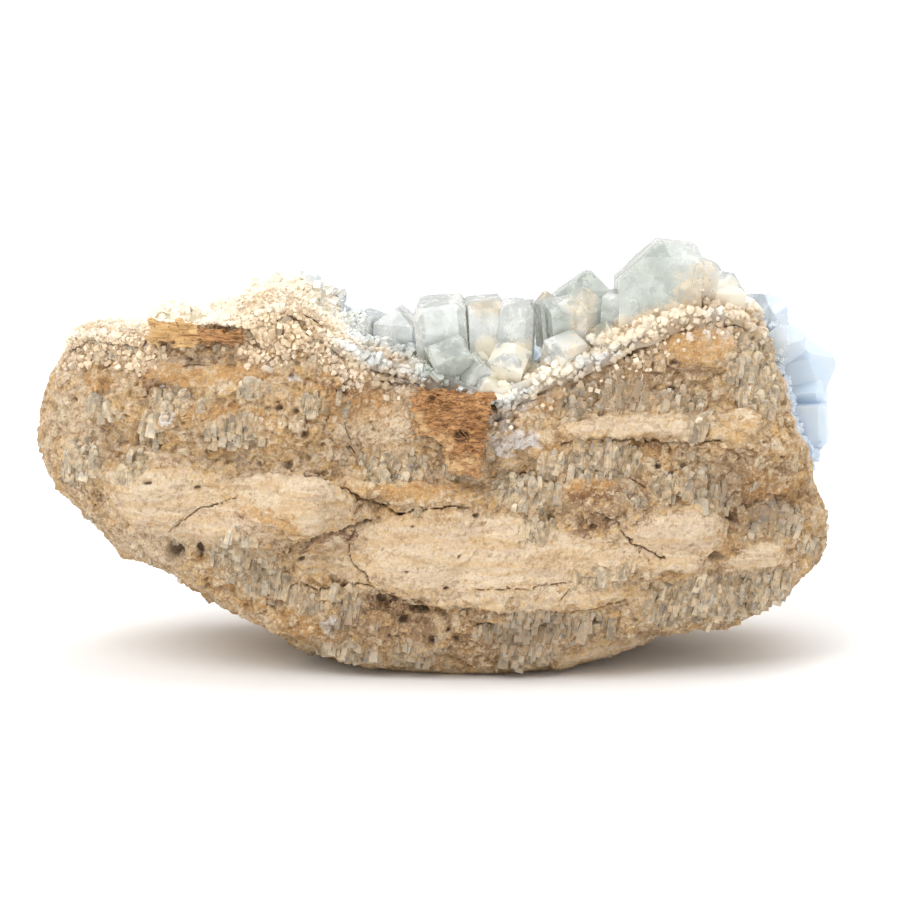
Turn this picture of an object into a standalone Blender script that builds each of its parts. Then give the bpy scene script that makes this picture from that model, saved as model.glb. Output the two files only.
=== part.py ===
"""Celestite cluster: a broken piece of geode wall, with blue celestite crystals along its top and right side.

The rock is one solid, lofted through upright ribs from its left tip to its right end. The crystals are grown
together into one crust that follows the rock's top and right wall. Two bits of bark are stuck to the broken
front face. X runs along the piece, the broken front face looks along -Y, Z is up, and the origin is under the
middle, on the table. Sizes are in millimetres until a mesh is finished, and then go to metres.
"""

import math
import random

import bmesh
import bpy
import numpy as np
from mathutils import Euler, Matrix, Vector, noise
from mathutils.bvhtree import BVHTree

MM = 0.001
GAP = 0.3  # room between the rock and what grows or sticks on it

# The rock's ribs from left to right: X, underside, top, reach of the front face, reach of the back.
RIBS = (
    (-66.2, 34.6, 42.2, 8, 9),
    (-65.2, 31.4, 47.0, 13, 14),
    (-63.5, 28.2, 51.0, 17, 19),
    (-60.6, 24.0, 56.0, 22, 23),
    (-57.0, 18.7, 57.6, 26, 26),
    (-52.5, 15.8, 57.6, 28.5, 28),
    (-47.3, 13.9, 57.0, 30.5, 30),
    (-40.6, 10.2, 57.2, 32, 31),
    (-34.1, 7.0, 58.4, 33, 32),
    (-27.7, 2.4, 63.4, 33.5, 32.5),
    (-22.9, -0.6, 63.0, 34, 33),
    (-18.1, -1.6, 58.6, 34, 33.5),
    (-13.3, -2.2, 55.4, 34, 34),
    (-6.9, -3.0, 54.0, 34, 34),
    (-0.5, -3.4, 51.8, 34, 34),
    (4.3, -3.5, 48.2, 34, 34),
    (9.1, -3.5, 47.0, 34, 34),
    (13.9, -3.3, 48.8, 34, 34),
    (20.3, -2.8, 52.6, 33.5, 33.5),
    (26.7, -2.4, 54.6, 33, 33),
    (33.1, 0.3, 57.4, 32.5, 32.5),
    (38.0, 2.8, 60.4, 32, 32),
    (42.9, 3.7, 61.6, 31.5, 31.5),
    (48.8, 4.1, 60.6, 30.5, 31),
    (53.2, 5.8, 58.4, 29, 30),
    (55.9, 7.0, 54.6, 28, 29),
    (58.1, 8.8, 47.0, 26.5, 28),
    (60.3, 11.0, 39.4, 24.5, 26),
    (62.6, 13.6, 32.8, 21.5, 23),
    (64.8, 17.2, 28.4, 17, 18),
    (65.8, 20.5, 25.4, 11, 12),
)
WAIST = 0.45  # height of the widest part, as a share of a rib's height
TOP_POWER = 8.0  # squareness of a rib's upper half
KEEL_POWER = 2.8  # squareness of its lower half
FRONT_CROWDING = 1.7  # mesh points stand this much closer on the broken front face
TOP_THINNING = 0.45  # and this share wider on the covered top
ROCK_STATIONS, ROCK_LOOP = 42, 44  # a loop is a multiple of four
BED_STATIONS, BED_LOOP = 25, 32

BACK_DROP, DROP_STARTS = 0.17, -26.0  # the top slopes down to the back from this Y
HOLLOW_DEPTH, HOLLOW_X, HOLLOW_Y = 6.5, 8.0, 3.0
HOLLOW_HALF_LENGTH, HOLLOW_HALF_WIDTH = 36.0, 17.0

# Ledges and pits of the broken front face: X, Z, half width, half height, turn in degrees, rise, softness of
# the edge.
FRONT_FORMS = {
    "tilted_block": (-20.5, 29.5, 9.0, 4.9, -9, 2.6, 0.16),
    "gap_under_block": (-17.8, 23.4, 6.8, 1.5, 14, -2.4, 0.4),
    "great_plate": (10.0, 20.0, 22.0, 8.0, -3, 2.0, 0.14),
    "right_plate": (36.0, 25.2, 9.6, 8.2, 20, 2.4, 0.16),
    "left_plate": (-39.5, 30.0, 13.0, 6.0, -12, 1.5, 0.25),
    "left_shelf": (-44.0, 44.1, 14.0, 2.4, -3, 1.3, 0.3),
    "crystal_recess": (-32.0, 18.2, 8.0, 4.2, -18, -2.0, 0.3),
    "round_hole": (-41.0, 21.5, 2.3, 1.9, 30, -4.5, 0.4),
    "right_block": (48.3, 40.0, 4.8, 4.6, -8, 2.6, 0.2),
    "right_hollow": (53.0, 27.6, 5.4, 3.8, 20, -3.0, 0.5),
    "upper_shelf": (33.0, 41.4, 12.0, 2.2, -3, 2.0, 0.3),
    "ochre_knob": (45.0, 53.1, 4.5, 3.6, 10, 1.6, 0.4),
    "bark_pocket": (5.5, 36.6, 4.6, 3.2, 10, -2.2, 0.5),
    "grey_pocket": (-7.5, 38.6, 7.0, 4.6, -10, -1.4, 0.5),
    "brown_pit": (28.5, 27.0, 3.4, 1.6, 20, -2.2, 0.5),
    "keel_notch": (-5.0, 11.0, 5.5, 3.4, -20, -2.8, 0.4),
    "low_crystal_band": (46.0, 14.2, 12.0, 3.4, 9, -1.2, 0.3),
}
LAYER_THICKNESS, LAYER_STEP, LAYER_TILT = 4.2, 0.8, 0.07
FOOT_X, FOOT_HALF_LENGTH = 6.0, 26.0  # no relief under here, so that the rock rests on one flat spot

BED_THICKNESS = 2.0
FRONT_MASS = {"x": 8.0, "y": -25.0, "half_length": 9.0, "half_width": 8.0, "rise": 4.0}

# Crystals that are placed one by one: tip X, Y, Z, width, thickness, length, lean to the right, lean to the
# front, twist, habit.
CRYSTALS = {
    "tall_wedge": (36.2, -23, 71.6, 13.4, 9.0, 19, 0, 0, 3, "wedge"),
    "tall_shoulder": (43.2, -24, 68.6, 5.0, 6.0, 13, 14, 6, 30, "block"),
    "dark_peak": (25.2, -17, 66.0, 11.0, 8.5, 17, 2, -4, 5, "tent"),
    "tan_facet": (24.0, -25, 63.8, 6.6, 6.4, 13, 0, 14, 45, "point"),
    "amber_bead": (18.2, -21, 62.9, 3.6, 3.6, 9, -5, 4, 20, "point"),
    "pale_pillar": (20.6, -26, 62.0, 4.8, 4.6, 13, -6, 14, 12, "block"),
    "square_block": (13.4, -27, 61.7, 5.4, 5.2, 12, 2, 10, 2, "block"),
    "green_block": (8.2, -24, 62.2, 6.2, 5.8, 12, -2, 8, 8, "block"),
    "grey_block": (1.0, -25, 62.0, 8.4, 7.6, 13, -5, 10, -6, "block"),
    "back_plate": (13.8, -16, 61.2, 6.0, 4.2, 12, 3, 0, 65, "block"),
    "low_left_block": (30.6, -25, 63.2, 6.0, 5.4, 12, 4, 8, -10, "block"),
    "rim_grey": (47.2, -22, 63.8, 5.6, 5.0, 9, 6, 2, 25, "block"),
    "rim_jagged": (51.2, -19, 61.8, 5.4, 4.8, 9, 14, 4, 50, "tent"),
    "saddle_left": (-14.7, -12, 58.2, 6.0, 5.4, 10, -4, 6, 20, "tent"),
    "saddle_middle": (-10.6, -13, 58.6, 6.4, 5.6, 10, 4, 8, 50, "block"),
    "saddle_right": (-5.8, -15, 59.8, 6.6, 6.0, 11, 2, 6, -15, "tent"),
    "front_mass_left": (2.2, -31, 54.6, 6.4, 6.0, 11, -14, 40, 10, "block"),
    "front_mass_mid": (6.8, -31.5, 53.0, 6.6, 5.4, 11, 6, 44, 35, "tent"),
    "front_mass_right": (12.6, -31, 55.2, 6.0, 5.6, 11, 10, 38, -12, "point"),
    "front_mass_low": (8.4, -32.5, 49.8, 5.0, 4.4, 9, 0, 52, 20, "point"),
    "front_shelf_right": (21.6, -30, 55.8, 6.0, 5.0, 10, 8, 36, 40, "block"),
    "front_shelf_far": (28.0, -29, 58.0, 5.6, 4.8, 10, 0, 34, 15, "tent"),
    "blue_point": (67.2, -3, 49.6, 9.0, 8.4, 15, 72, 6, 12, "point"),
    "blue_shoulder": (65.6, -4, 44.4, 7.0, 6.6, 12, 84, 12, 40, "block"),
    "grey_blue_block": (65.8, -6, 39.4, 7.2, 6.8, 12, 88, 10, 5, "block"),
    "blue_foot": (64.2, -7, 34.6, 5.4, 5.0, 10, 96, 14, 35, "tent"),
    "blue_toe": (63.6, -2, 31.4, 4.6, 4.4, 8, 100, 6, 10, "block"),
    "wall_top": (57.0, -8, 48.6, 5.4, 5.0, 9, 50, 10, 20, "block"),
}
TRIMMED = ("dark_peak", "tan_facet", "grey_block", "blue_point", "square_block")
HOLLOW_SPACING, RIM_SPACING, LEFT_SPACING, WALL_SPACING = 10.4, 8.4, 7.2, 7.4
SCATTER_TRIES = 2400
BARE_RIM_X, BARE_RIM_Y = -14.0, -8.0  # left of and in front of this, the druse is too fine to model
SCATTER_SEED = 31


def mixed(low, high, share):
    return low + (high - low) * share


def eased(low, high, value):
    """0 below low, 1 above high, and smooth between them."""
    share = np.clip((value - low) / (high - low), 0, 1)
    return share * share * (3 - 2 * share)


def bell(distance):
    return math.exp(-distance * distance)


def rib_at(share):
    """The rib at this share of the way from the left tip to the right end, on a curve through the table."""
    ribs = np.array(RIBS, float)
    place = share * (len(ribs) - 1)
    first = min(int(place), len(ribs) - 2)
    near = ribs[np.clip([first - 1, first, first + 1, first + 2], 0, len(ribs) - 1)]
    t = place - first
    pulls = (near[2:] - near[:2]) / 2
    return (
        near[1] * (2 * t**3 - 3 * t**2 + 1)
        + pulls[0] * (t**3 - 2 * t**2 + t)
        + near[2] * (3 * t**2 - 2 * t**3)
        + pulls[1] * (t**3 - t**2)
    )


def rib_at_x(x):
    """The rib that stands at this X."""
    low, high = 0.0, 1.0
    for _ in range(24):
        middle = (low + high) / 2
        if rib_at(middle)[0] < x:
            low = middle
        else:
            high = middle
    return rib_at(low)


def hollow(x, y):
    """Depth of the shallow basin that the crystals line."""
    along = bell((x - HOLLOW_X) / HOLLOW_HALF_LENGTH)
    return HOLLOW_DEPTH * along * bell((y - HOLLOW_Y) / HOLLOW_HALF_WIDTH)


def upper_z(rib, y, height):
    """Z on a rib's upper half, at this Y and this share of the way from its waist to its top."""
    x, bottom, top, _, _ = rib
    waist = mixed(bottom, top, WAIST)
    drop = BACK_DROP * max(0.0, y - DROP_STARTS)
    rise = top - waist - min(drop, 0.4 * (top - waist))
    sink = hollow(x, y) * float(eased(0.8, 1.0, height)) * min(1, rise / 20)
    return waist + rise * height - sink


def rib_point(rib, angle):
    """A point of a rib's outline. Angle 0 is the front, and a quarter turn is the top."""
    x, bottom, top, front, back = rib
    waist = mixed(bottom, top, WAIST)
    along, up = math.cos(angle), math.sin(angle)
    power = TOP_POWER if up > 0 else KEEL_POWER
    y = (-front if along > 0 else back) * abs(along) ** (2 / power)
    if up > 0:
        return Vector((x, y, upper_z(rib, y, up ** (2 / power))))
    return Vector((x, y, waist - (waist - bottom) * abs(up) ** (2 / power)))


def loop_angles(count):
    """Angles that spread points evenly round a rib, closer on the front face and wider on the covered top."""
    fine = np.linspace(0, 2 * math.pi, 3601)
    middle_rib = rib_at(0.5)
    points = np.array([rib_point(middle_rib, a) for a in fine])
    steps = np.linalg.norm(np.diff(points, axis=0), axis=1)
    rise = np.abs(np.diff(points[:, 2])) / steps
    front = (np.cos(fine[:-1]) > 0) * eased(0.3, 0.7, rise)
    on_top = (np.sin(fine[:-1]) > 0) * eased(0.7, 0.3, rise)
    run = np.cumsum(steps * (1 + (FRONT_CROWDING - 1) * front - (1 - TOP_THINNING) * on_top))
    return np.interp(np.arange(count) / count * run[-1], np.concatenate([[0], run]), fine)


def front_of(rock_faces, x, z):
    """Y of the finished front face at this X and Z."""
    return rock_faces.ray_cast(Vector((x, -60, z)), Vector((0, 1, 0)))[0].y


def top_z(x, y):
    """Z of the rock's top at this X and Y, before its lumps."""
    rib = rib_at_x(x)
    share = abs(y) / (rib[3] if y < 0 else rib[4])
    height = max(0.0, 1 - min(share, 1) ** TOP_POWER) ** (1 / TOP_POWER)
    return upper_z(rib, y, height)


def wall_x(z):
    """X of the rock's right wall at this height."""
    ribs = [r for r in RIBS if r[0] > 50]
    return float(np.interp(-z, [-r[2] for r in ribs], [r[0] for r in ribs]))


def facet(point, size, tilt, step):
    """Height of a broken surface made of flat, tilted chips of this size."""
    place = point / size
    centre = noise.voronoi(place)[1][0]
    lean = noise.cell_vector(centre * 7.3) - Vector((0.5, 0.5, 0.5))
    return step * (noise.cell(centre * 5.1) - 0.5) + tilt * size * lean.dot(place - centre)


def layer(point):
    """Ledges where the beds of the rock broke at different depths."""
    warp = noise.noise(point / 17) * 2.6
    height = (point.z + LAYER_TILT * point.x + warp) / LAYER_THICKNESS
    below, between = math.floor(height), height - math.floor(height)
    low, high = (noise.cell(Vector((n * 3.7, 0.5, 0.5))) - 0.5 for n in (below, below + 1))
    return LAYER_STEP * 2 * mixed(low, high, float(eased(0.7, 1.0, between)))


def front_forms(point):
    """Rise of the named ledges and pits at this point of the front face."""
    total = 0.0
    for x, z, half_width, half_height, turn, rise, edge in FRONT_FORMS.values():
        dx, dz, a = point.x - x, point.z - z, math.radians(turn)
        across = (dx * math.cos(a) + dz * math.sin(a)) / half_width
        upward = (dz * math.cos(a) - dx * math.sin(a)) / half_height
        reach = (across**4 + upward**4) ** 0.25
        total += rise * (1 - float(eased(1 - edge, 1 + edge, reach)))
    return total


def end_fade(point):
    """1 along the piece, and near 0 at its two tips, where the ribs are too close together for relief."""
    left, right = RIBS[0][0], RIBS[-1][0]
    return 0.1 + 0.9 * float(eased(left, left + 10, point.x) * eased(right, right - 9, point.x))


def relief(point, normal):
    """How far the broken surface stands off the smooth rib surface."""
    covered = float(eased(0.4, 0.7, normal.z))
    foot = float(eased(-0.6, -0.85, normal.z)) * bell((point.x - FOOT_X) / FOOT_HALF_LENGTH)
    chips = facet(point, 15.0, 0.26, 1.5) + facet(point + Vector((3, 7, 1)), 6.0, 0.3, 0.7)
    front = float(eased(0.35, 0.7, -normal.y))
    bare = (1 - 0.6 * covered) * (1 - foot)
    return (chips + layer(point)) * bare * end_fade(point) + front_forms(point) * front


def crust_cover(point, normal):
    """1 where the crystal crust covers the rock, and 0 where the rock is bare."""
    on_top = float(eased(0.5, 0.8, normal.z))
    on_wall = float(eased(0.4, 0.7, normal.x) * eased(28, 33, point.z) * eased(-17, -9, point.y))
    return max(on_top, on_wall)


def bed(point, normal):
    """Thickness of the massive celestite under the crystals. Below zero it lies inside the rock."""
    cover = crust_cover(point, normal)
    mass = bell((point.x - FRONT_MASS["x"]) / FRONT_MASS["half_length"])
    mass *= bell((point.y - FRONT_MASS["y"]) / FRONT_MASS["half_width"]) * FRONT_MASS["rise"]
    lumps = 2.2 * noise.noise(point / 4.5)
    return mixed(-2.4, BED_THICKNESS + mass + lumps, cover) * end_fade(point)


def lofted(name, stations, loop, extra, flat=False):
    """The rock's loft as a closed mesh, with extra(point, normal) added to its relief. Flat cuts a resting spot."""
    angles = loop_angles(loop)
    bm = bmesh.new()
    bmesh.ops.create_cone(bm, cap_ends=True, segments=loop, radius1=1, radius2=1, depth=stations)
    upright = [e for e in bm.edges if abs(e.verts[0].co.z - e.verts[1].co.z) > 1]
    bmesh.ops.subdivide_edges(bm, edges=upright, cuts=stations - 1, use_grid_fill=True)
    ribs = [rib_at(n / stations) for n in range(stations + 1)]
    for v in bm.verts:
        station = round(v.co.z + stations / 2)
        turn = math.atan2(v.co.y, v.co.x) / (2 * math.pi)
        v.co = rib_point(ribs[station], angles[round(turn * loop) % loop])
    caps = [f for f in bm.faces if len(f.verts) > 4]
    bmesh.ops.poke(bm, faces=caps)
    bmesh.ops.recalc_face_normals(bm, faces=bm.faces)
    bm.normal_update()
    moves = [(v, v.normal * (relief(v.co, v.normal) + extra(v.co, v.normal))) for v in bm.verts]
    for v, move in moves:
        v.co += move
    bmesh.ops.triangulate(bm, faces=[f for f in bm.faces if len(f.verts) == 4], quad_method="SHORT_EDGE")
    if flat:
        cut_off(bm, Vector(), Vector((0, 0, -1)))
    return finished(bm, name)


def finished(bm, name):
    """The bmesh as a mesh in metres."""
    bmesh.ops.scale(bm, vec=(MM, MM, MM), verts=bm.verts)
    mesh = bpy.data.meshes.new(name)
    bm.to_mesh(mesh)
    bm.free()
    return mesh


def cut_off(bm, point, outward):
    """Cuts away what lies past this plane and closes the cut with one flat face."""
    everything = bm.verts[:] + bm.edges[:] + bm.faces[:]
    bmesh.ops.bisect_plane(bm, geom=everything, plane_co=point, plane_no=outward, clear_outer=True)
    bmesh.ops.holes_fill(bm, edges=[e for e in bm.edges if e.is_boundary])


def crystal_planes(habit, width, thickness, trimmed, rng):
    """The faces that shape a crystal of this habit, as (point, outward normal), with the tip at the origin."""

    def dome(side, slope, setback, across):
        a = math.radians(slope + rng.uniform(-4, 4))
        flat = Vector((side, 0, 0)) if across else Vector((0, side, 0))
        return flat * setback, flat * math.sin(a) + Vector((0, 0, math.cos(a)))

    half, deep = width / 2, thickness / 2
    if habit == "tent":
        tip = [dome(s, 42, 0.06 * half, True) for s in (-1, 1)]
        tip += [dome(s, 62, rng.uniform(0.45, 0.7) * deep, False) for s in (-1, 1)]
    elif habit == "wedge":
        tip = [dome(-1, 47, 0.0, True), dome(1, 10, 0.0, True)]
        tip += [dome(1, 64, 0.84 * half, True)] + [dome(s, 62, 0.72 * deep, False) for s in (-1, 1)]
    elif habit == "point":
        tip = [dome(s, 47, 0.16 * half, True) for s in (-1, 1)]
        tip += [dome(s, 50, 0.2 * deep, False) for s in (-1, 1)]
    else:
        tip = [dome(s, 52, rng.uniform(0.68, 0.86) * half, True) for s in (-1, 1)]
        tip += [dome(s, 50, rng.uniform(0.66, 0.86) * deep, False) for s in (-1, 1)]
        tip += [(Vector((0, 0, 0)), Vector((rng.uniform(-0.08, 0.08), rng.uniform(-0.08, 0.08), 1)))]
    trim = rng.uniform(0.74, 0.86)
    for sx in (-1, 1) if trimmed else ():
        for sy in (-1, 1):
            corner = Vector((sx * half, sy * deep, 0))
            tip.append((corner * trim, Vector((sx * deep, sy * half, 0)).normalized()))
    return tip


def crystal(tip, width, thickness, length, turn, habit, trimmed, rng):
    """One closed crystal as a bmesh, its tip at this point, standing as the rotation turn sets it."""
    bm = bmesh.new()
    bmesh.ops.create_cube(bm, size=1)
    bmesh.ops.scale(bm, vec=(width, thickness, length), verts=bm.verts)
    bmesh.ops.translate(bm, vec=(0, 0, -length / 2 + 0.02), verts=bm.verts)
    for point, outward in crystal_planes(habit, width, thickness, trimmed, rng):
        cut_off(bm, point, outward)
    place = Matrix.Translation(tip) @ turn.to_matrix().to_4x4()
    bmesh.ops.transform(bm, matrix=place, verts=bm.verts)
    return bm


def placed_crystals(rng):
    """The crystals of the CRYSTALS table."""
    for name, values in CRYSTALS.items():
        x, y, z, width, thickness, length, right, forward, twist, habit = values
        lean = Euler((math.radians(forward), math.radians(right), 0)).to_quaternion()
        turn = lean @ Euler((0, 0, math.radians(twist))).to_quaternion()
        trimmed = name in TRIMMED
        yield crystal(Vector((x, y, z)), width, thickness, length, turn, habit, trimmed, rng)


def crowding(x, y):
    """Room that a scattered crystal takes at this place of the top."""
    basin = bell((x - HOLLOW_X - 4) / 30) * bell((y - HOLLOW_Y) / 16)
    side = LEFT_SPACING if x < -18 else RIM_SPACING
    return mixed(side, HOLLOW_SPACING, basin)


def seats_on_top(rng):
    """Places and outward directions for scattered crystals on the rock's top."""
    for _ in range(SCATTER_TRIES):
        x = rng.uniform(-44, 54)
        _, _, _, front, back = rib_at_x(x)
        y = rng.uniform(-0.45 * front, 0.82 * back)
        if x < BARE_RIM_X and y < BARE_RIM_Y:
            continue
        slope = Vector((top_z(x - 1, y) - top_z(x + 1, y), top_z(x, y - 1) - top_z(x, y + 1), 2))
        yield Vector((x, y, top_z(x, y))), slope.normalized(), crowding(x, y)


def seats_on_wall(rng):
    """Places and outward directions for scattered crystals on the right wall."""
    for _ in range(SCATTER_TRIES // 6):
        y, z = rng.uniform(-9, 20), rng.uniform(33, 54)
        outward = Vector((1, y / 40, 0.25)).normalized()
        yield Vector((wall_x(z) - 0.1 * abs(y), y, z)), outward, WALL_SPACING


def scattered_crystals(rng):
    """Crystals sown over the top and the wall, none crowding another or one of the table's."""
    taken = [(Vector(c[:3]), c[3] * 0.6) for c in CRYSTALS.values()]
    for seats in (seats_on_wall(rng), seats_on_top(rng)):
        for seat, outward, room in seats:
            tip_rise = room * rng.uniform(0.4, 0.7) + BED_THICKNESS
            tip = seat + outward * tip_rise
            if any((tip - other).length < (room * 0.5 + reach) for other, reach in taken):
                continue
            taken.append((tip, room * 0.5))
            size = room * rng.uniform(0.6, 0.95)
            sway = Vector((rng.uniform(-1, 1), rng.uniform(-1, 1), rng.uniform(-1, 1))) * 0.36
            aim = (outward + sway).normalized()
            turn = aim.to_track_quat("Z", "Y") @ Euler((0, 0, rng.uniform(0, 6.28))).to_quaternion()
            habit = rng.choice(("tent", "tent", "point", "block", "block", "wedge"))
            thickness = size * rng.uniform(0.62, 0.95)
            yield crystal(tip, size * 1.15, thickness, tip_rise + 3.5, turn, habit, False, rng)


def all_crystals(name):
    """Every crystal in one mesh, overlapping where they grow into each other."""
    rng = random.Random(SCATTER_SEED)
    whole = bmesh.new()
    for maker in (placed_crystals, scattered_crystals):
        for one in maker(rng):
            piece = bpy.data.meshes.new("one_crystal")
            one.to_mesh(piece)
            one.free()
            whole.from_mesh(piece)
            bpy.data.meshes.remove(piece)
    return finished(whole, name)


def chip(name, centre, size, tilt, form):
    """A rough bit of bark: a subdivided box, given its outline by form and then roughened."""
    bm = bmesh.new()
    bmesh.ops.create_cube(bm, size=1)
    bmesh.ops.subdivide_edges(bm, edges=bm.edges[:], cuts=4, use_grid_fill=True)
    for v in bm.verts:
        v.co = form(v.co) * Vector(size)
        lumps = [noise.noise(v.co * 0.8 + Vector((shift, 0, 0))) for shift in (0, 31, 57)]
        v.co += Vector(lumps) * 0.4
    place = Matrix.Translation(centre) @ Euler((0, math.radians(tilt), 0)).to_matrix().to_4x4()
    bmesh.ops.transform(bm, matrix=place, verts=bm.verts)
    bmesh.ops.triangulate(bm, faces=bm.faces)
    return finished(bm, name)


def flake_and_stick(place):
    """A broad flake that narrows to a stick past its middle."""
    narrowing = mixed(1, 0.5, float(eased(-0.12, 0.06, place.x)))
    return Vector((place.x, place.y, place.z * narrowing))


def patch_with_tail(place):
    """A patch whose right half hangs down in a tail."""
    hang = float(eased(0.5, -0.5, place.z) * eased(-0.2, 0.12, place.x)) * 0.8
    return Vector((place.x - 0.15 * hang, place.y, place.z - hang))


def new_object(name, mesh, collection, material=None):
    thing = bpy.data.objects.new(name, mesh)
    collection.objects.link(thing)
    if material:
        mesh.materials.append(material)
    return thing


def boolean(thing, operation, other, with_itself=False):
    modifier = thing.modifiers.new(f"{operation.lower()}_{other.name}", "BOOLEAN")
    modifier.operation = operation
    modifier.solver = "EXACT"
    modifier.use_self = with_itself
    modifier.object = other


def largest_body(thing):
    """Bakes the modifiers and keeps only the largest connected body, so no loose crumb is left."""
    graph = bpy.context.evaluated_depsgraph_get()
    mesh = bpy.data.meshes.new_from_object(thing.evaluated_get(graph))
    thing.modifiers.clear()
    bm = bmesh.new()
    bm.from_mesh(mesh)
    left, bodies = set(bm.faces), []
    while left:
        body, edge = set(), [left.pop()]
        while edge:
            face = edge.pop()
            body.add(face)
            near = {other for e in face.edges for other in e.link_faces} & left
            left -= near
            edge += near
        bodies.append(body)
    crumbs = [face for body in sorted(bodies, key=len)[:-1] for face in body]
    bmesh.ops.delete(bm, geom=crumbs, context="FACES")
    bmesh.ops.dissolve_limit(bm, angle_limit=math.radians(0.5), verts=bm.verts, edges=bm.edges)
    bmesh.ops.triangulate(bm, faces=bm.faces)
    bm.to_mesh(mesh)
    bm.free()
    thing.data = mesh


def centre_over_origin(things):
    """Moves the meshes so that the whole object stands centred over the origin."""
    points = [v.co for thing in things for v in thing.data.vertices]
    low, high = (Vector([pick(p[n] for p in points) for n in (0, 1)] + [0]) for pick in (min, max))
    for thing in things:
        thing.data.transform(Matrix.Translation(-(low + high) / 2))


def surface(name, colour, roughness, clear=0.0):
    material = bpy.data.materials.new(name)
    material.use_nodes = True
    shader = material.node_tree.nodes["Principled BSDF"]
    shader.inputs["Base Color"].default_value = (*colour, 1)
    shader.inputs["Roughness"].default_value = roughness
    shader.inputs["Metallic"].default_value = 0
    shader.inputs["Transmission Weight"].default_value = clear
    return material


def main():
    for old in list(bpy.data.objects):
        bpy.data.objects.remove(old)
    parts = bpy.data.collections.new("celestite_cluster")
    helpers = bpy.data.collections.new("helpers")
    for collection in (parts, helpers):
        bpy.context.scene.collection.children.link(collection)

    rock = new_object(
        "matrix_rock",
        lofted("matrix_rock", ROCK_STATIONS, ROCK_LOOP, lambda p, n: 0.0, flat=True),
        parts,
        surface("tan_rock", (0.62, 0.47, 0.30), 0.85),
    )
    crust = new_object(
        "celestite_crust",
        lofted("celestite_crust", BED_STATIONS, BED_LOOP, bed),
        parts,
        surface("pale_blue", (0.78, 0.86, 0.88), 0.15, 0.6),
    )
    crystals = new_object("crystals", all_crystals("crystals"), helpers)
    clearance_mesh = lofted("rock_clearance", ROCK_STATIONS, ROCK_LOOP, lambda p, n: GAP)
    clearance = new_object("rock_clearance", clearance_mesh, helpers)
    faces = [tuple(p.vertices) for p in rock.data.polygons]
    rock_faces = BVHTree.FromPolygons([v.co / MM for v in rock.data.vertices], faces)
    bark_colour = surface("brown_bark", (0.42, 0.22, 0.09), 0.8)
    flake_x, flake_z = -42.4, 56.0
    flake_y = front_of(rock_faces, flake_x, flake_z - 2) - 1.1
    flake = (flake_x + 4.4, flake_y, flake_z)
    splinter_mesh = chip("wood_splinter", flake, (15.2, 3.6, 3.6), 3, flake_and_stick)
    splinter = new_object("wood_splinter", splinter_mesh, parts, bark_colour)
    room_mesh = chip("splinter_room", flake, (18.0, 8.0, 5.4), 3, lambda place: place)
    splinter_room = new_object("splinter_room", room_mesh, helpers)
    patch_x, patch_z = 3.2, 42.4
    patch_y = front_of(rock_faces, patch_x, patch_z) - 0.8
    bark = (patch_x, patch_y, patch_z)
    patch_mesh = chip("bark_fragment", bark, (12.0, 4.4, 6.6), 4, patch_with_tail)
    patch = new_object("bark_fragment", patch_mesh, parts, bark_colour)
    room_mesh = chip("bark_room", bark, (13.8, 8.4, 8.4), 4, lambda place: place)
    bark_room = new_object("bark_room", room_mesh, helpers)
    for helper in helpers.objects:
        helper.hide_render = True
        helper.display_type = "WIRE"

    boolean(crust, "UNION", crystals, with_itself=True)
    for cutter in (clearance, bark_room, splinter_room):
        boolean(crust, "DIFFERENCE", cutter)
    boolean(splinter, "DIFFERENCE", clearance)
    boolean(patch, "DIFFERENCE", clearance)
    bpy.context.view_layer.update()
    for thing in (crust, splinter, patch):
        largest_body(thing)
    centre_over_origin(parts.objects)


main()
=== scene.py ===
"""Celestite cluster: the fine rock, its crystal druse and bark, their materials, the light and the camera.

Places on the broken front face are given where the photograph shows them, in its pixels: U runs to the
right and V runs down. sight() turns a point of the model into such a place, so every mark sits on the
surface it belongs to. corners() reads a mesh's points in millimetres, and move_corners() writes them
back in metres.
"""

import math
import random

import bmesh
import bpy
import numpy as np
from mathutils import Euler, Matrix, Vector
from mathutils.bvhtree import BVHTree


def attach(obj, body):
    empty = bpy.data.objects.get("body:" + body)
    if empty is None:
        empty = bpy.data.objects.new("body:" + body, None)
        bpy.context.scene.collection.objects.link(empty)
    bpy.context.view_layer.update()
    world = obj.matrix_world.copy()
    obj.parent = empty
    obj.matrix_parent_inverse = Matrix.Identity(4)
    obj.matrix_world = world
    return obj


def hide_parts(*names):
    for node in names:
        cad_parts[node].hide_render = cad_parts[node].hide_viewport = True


MM = 0.001

# The camera: its aim point, distance, height above the horizon, lens and sensor.
AIM = (1.9, -32.6, 38.7)
DISTANCE = 600.0
ELEVATION = math.radians(8)
LENS, SENSOR = 150.0, 36.0
IMAGE_SIDE = 900

# The rock's mesh: its even grid, and how much finer the front face is where no crust hides it.
ROCK_GRID = 1.28
FRONT_CUTS = 2
HIDDEN_GAP = 0.75
CRACK_MARGIN = 2.2
BARK_GRID = 0.26
SMOOTHINGS = 2
# The crust reaches no lower than this. Left of one X it is sugary, and behind one Y it lines the hollow.
RIM_LOWEST = 38.0
SUGAR_SIDE = -12 * MM
HOLLOW_SIDE = -6 * MM
SEED = 7

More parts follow.
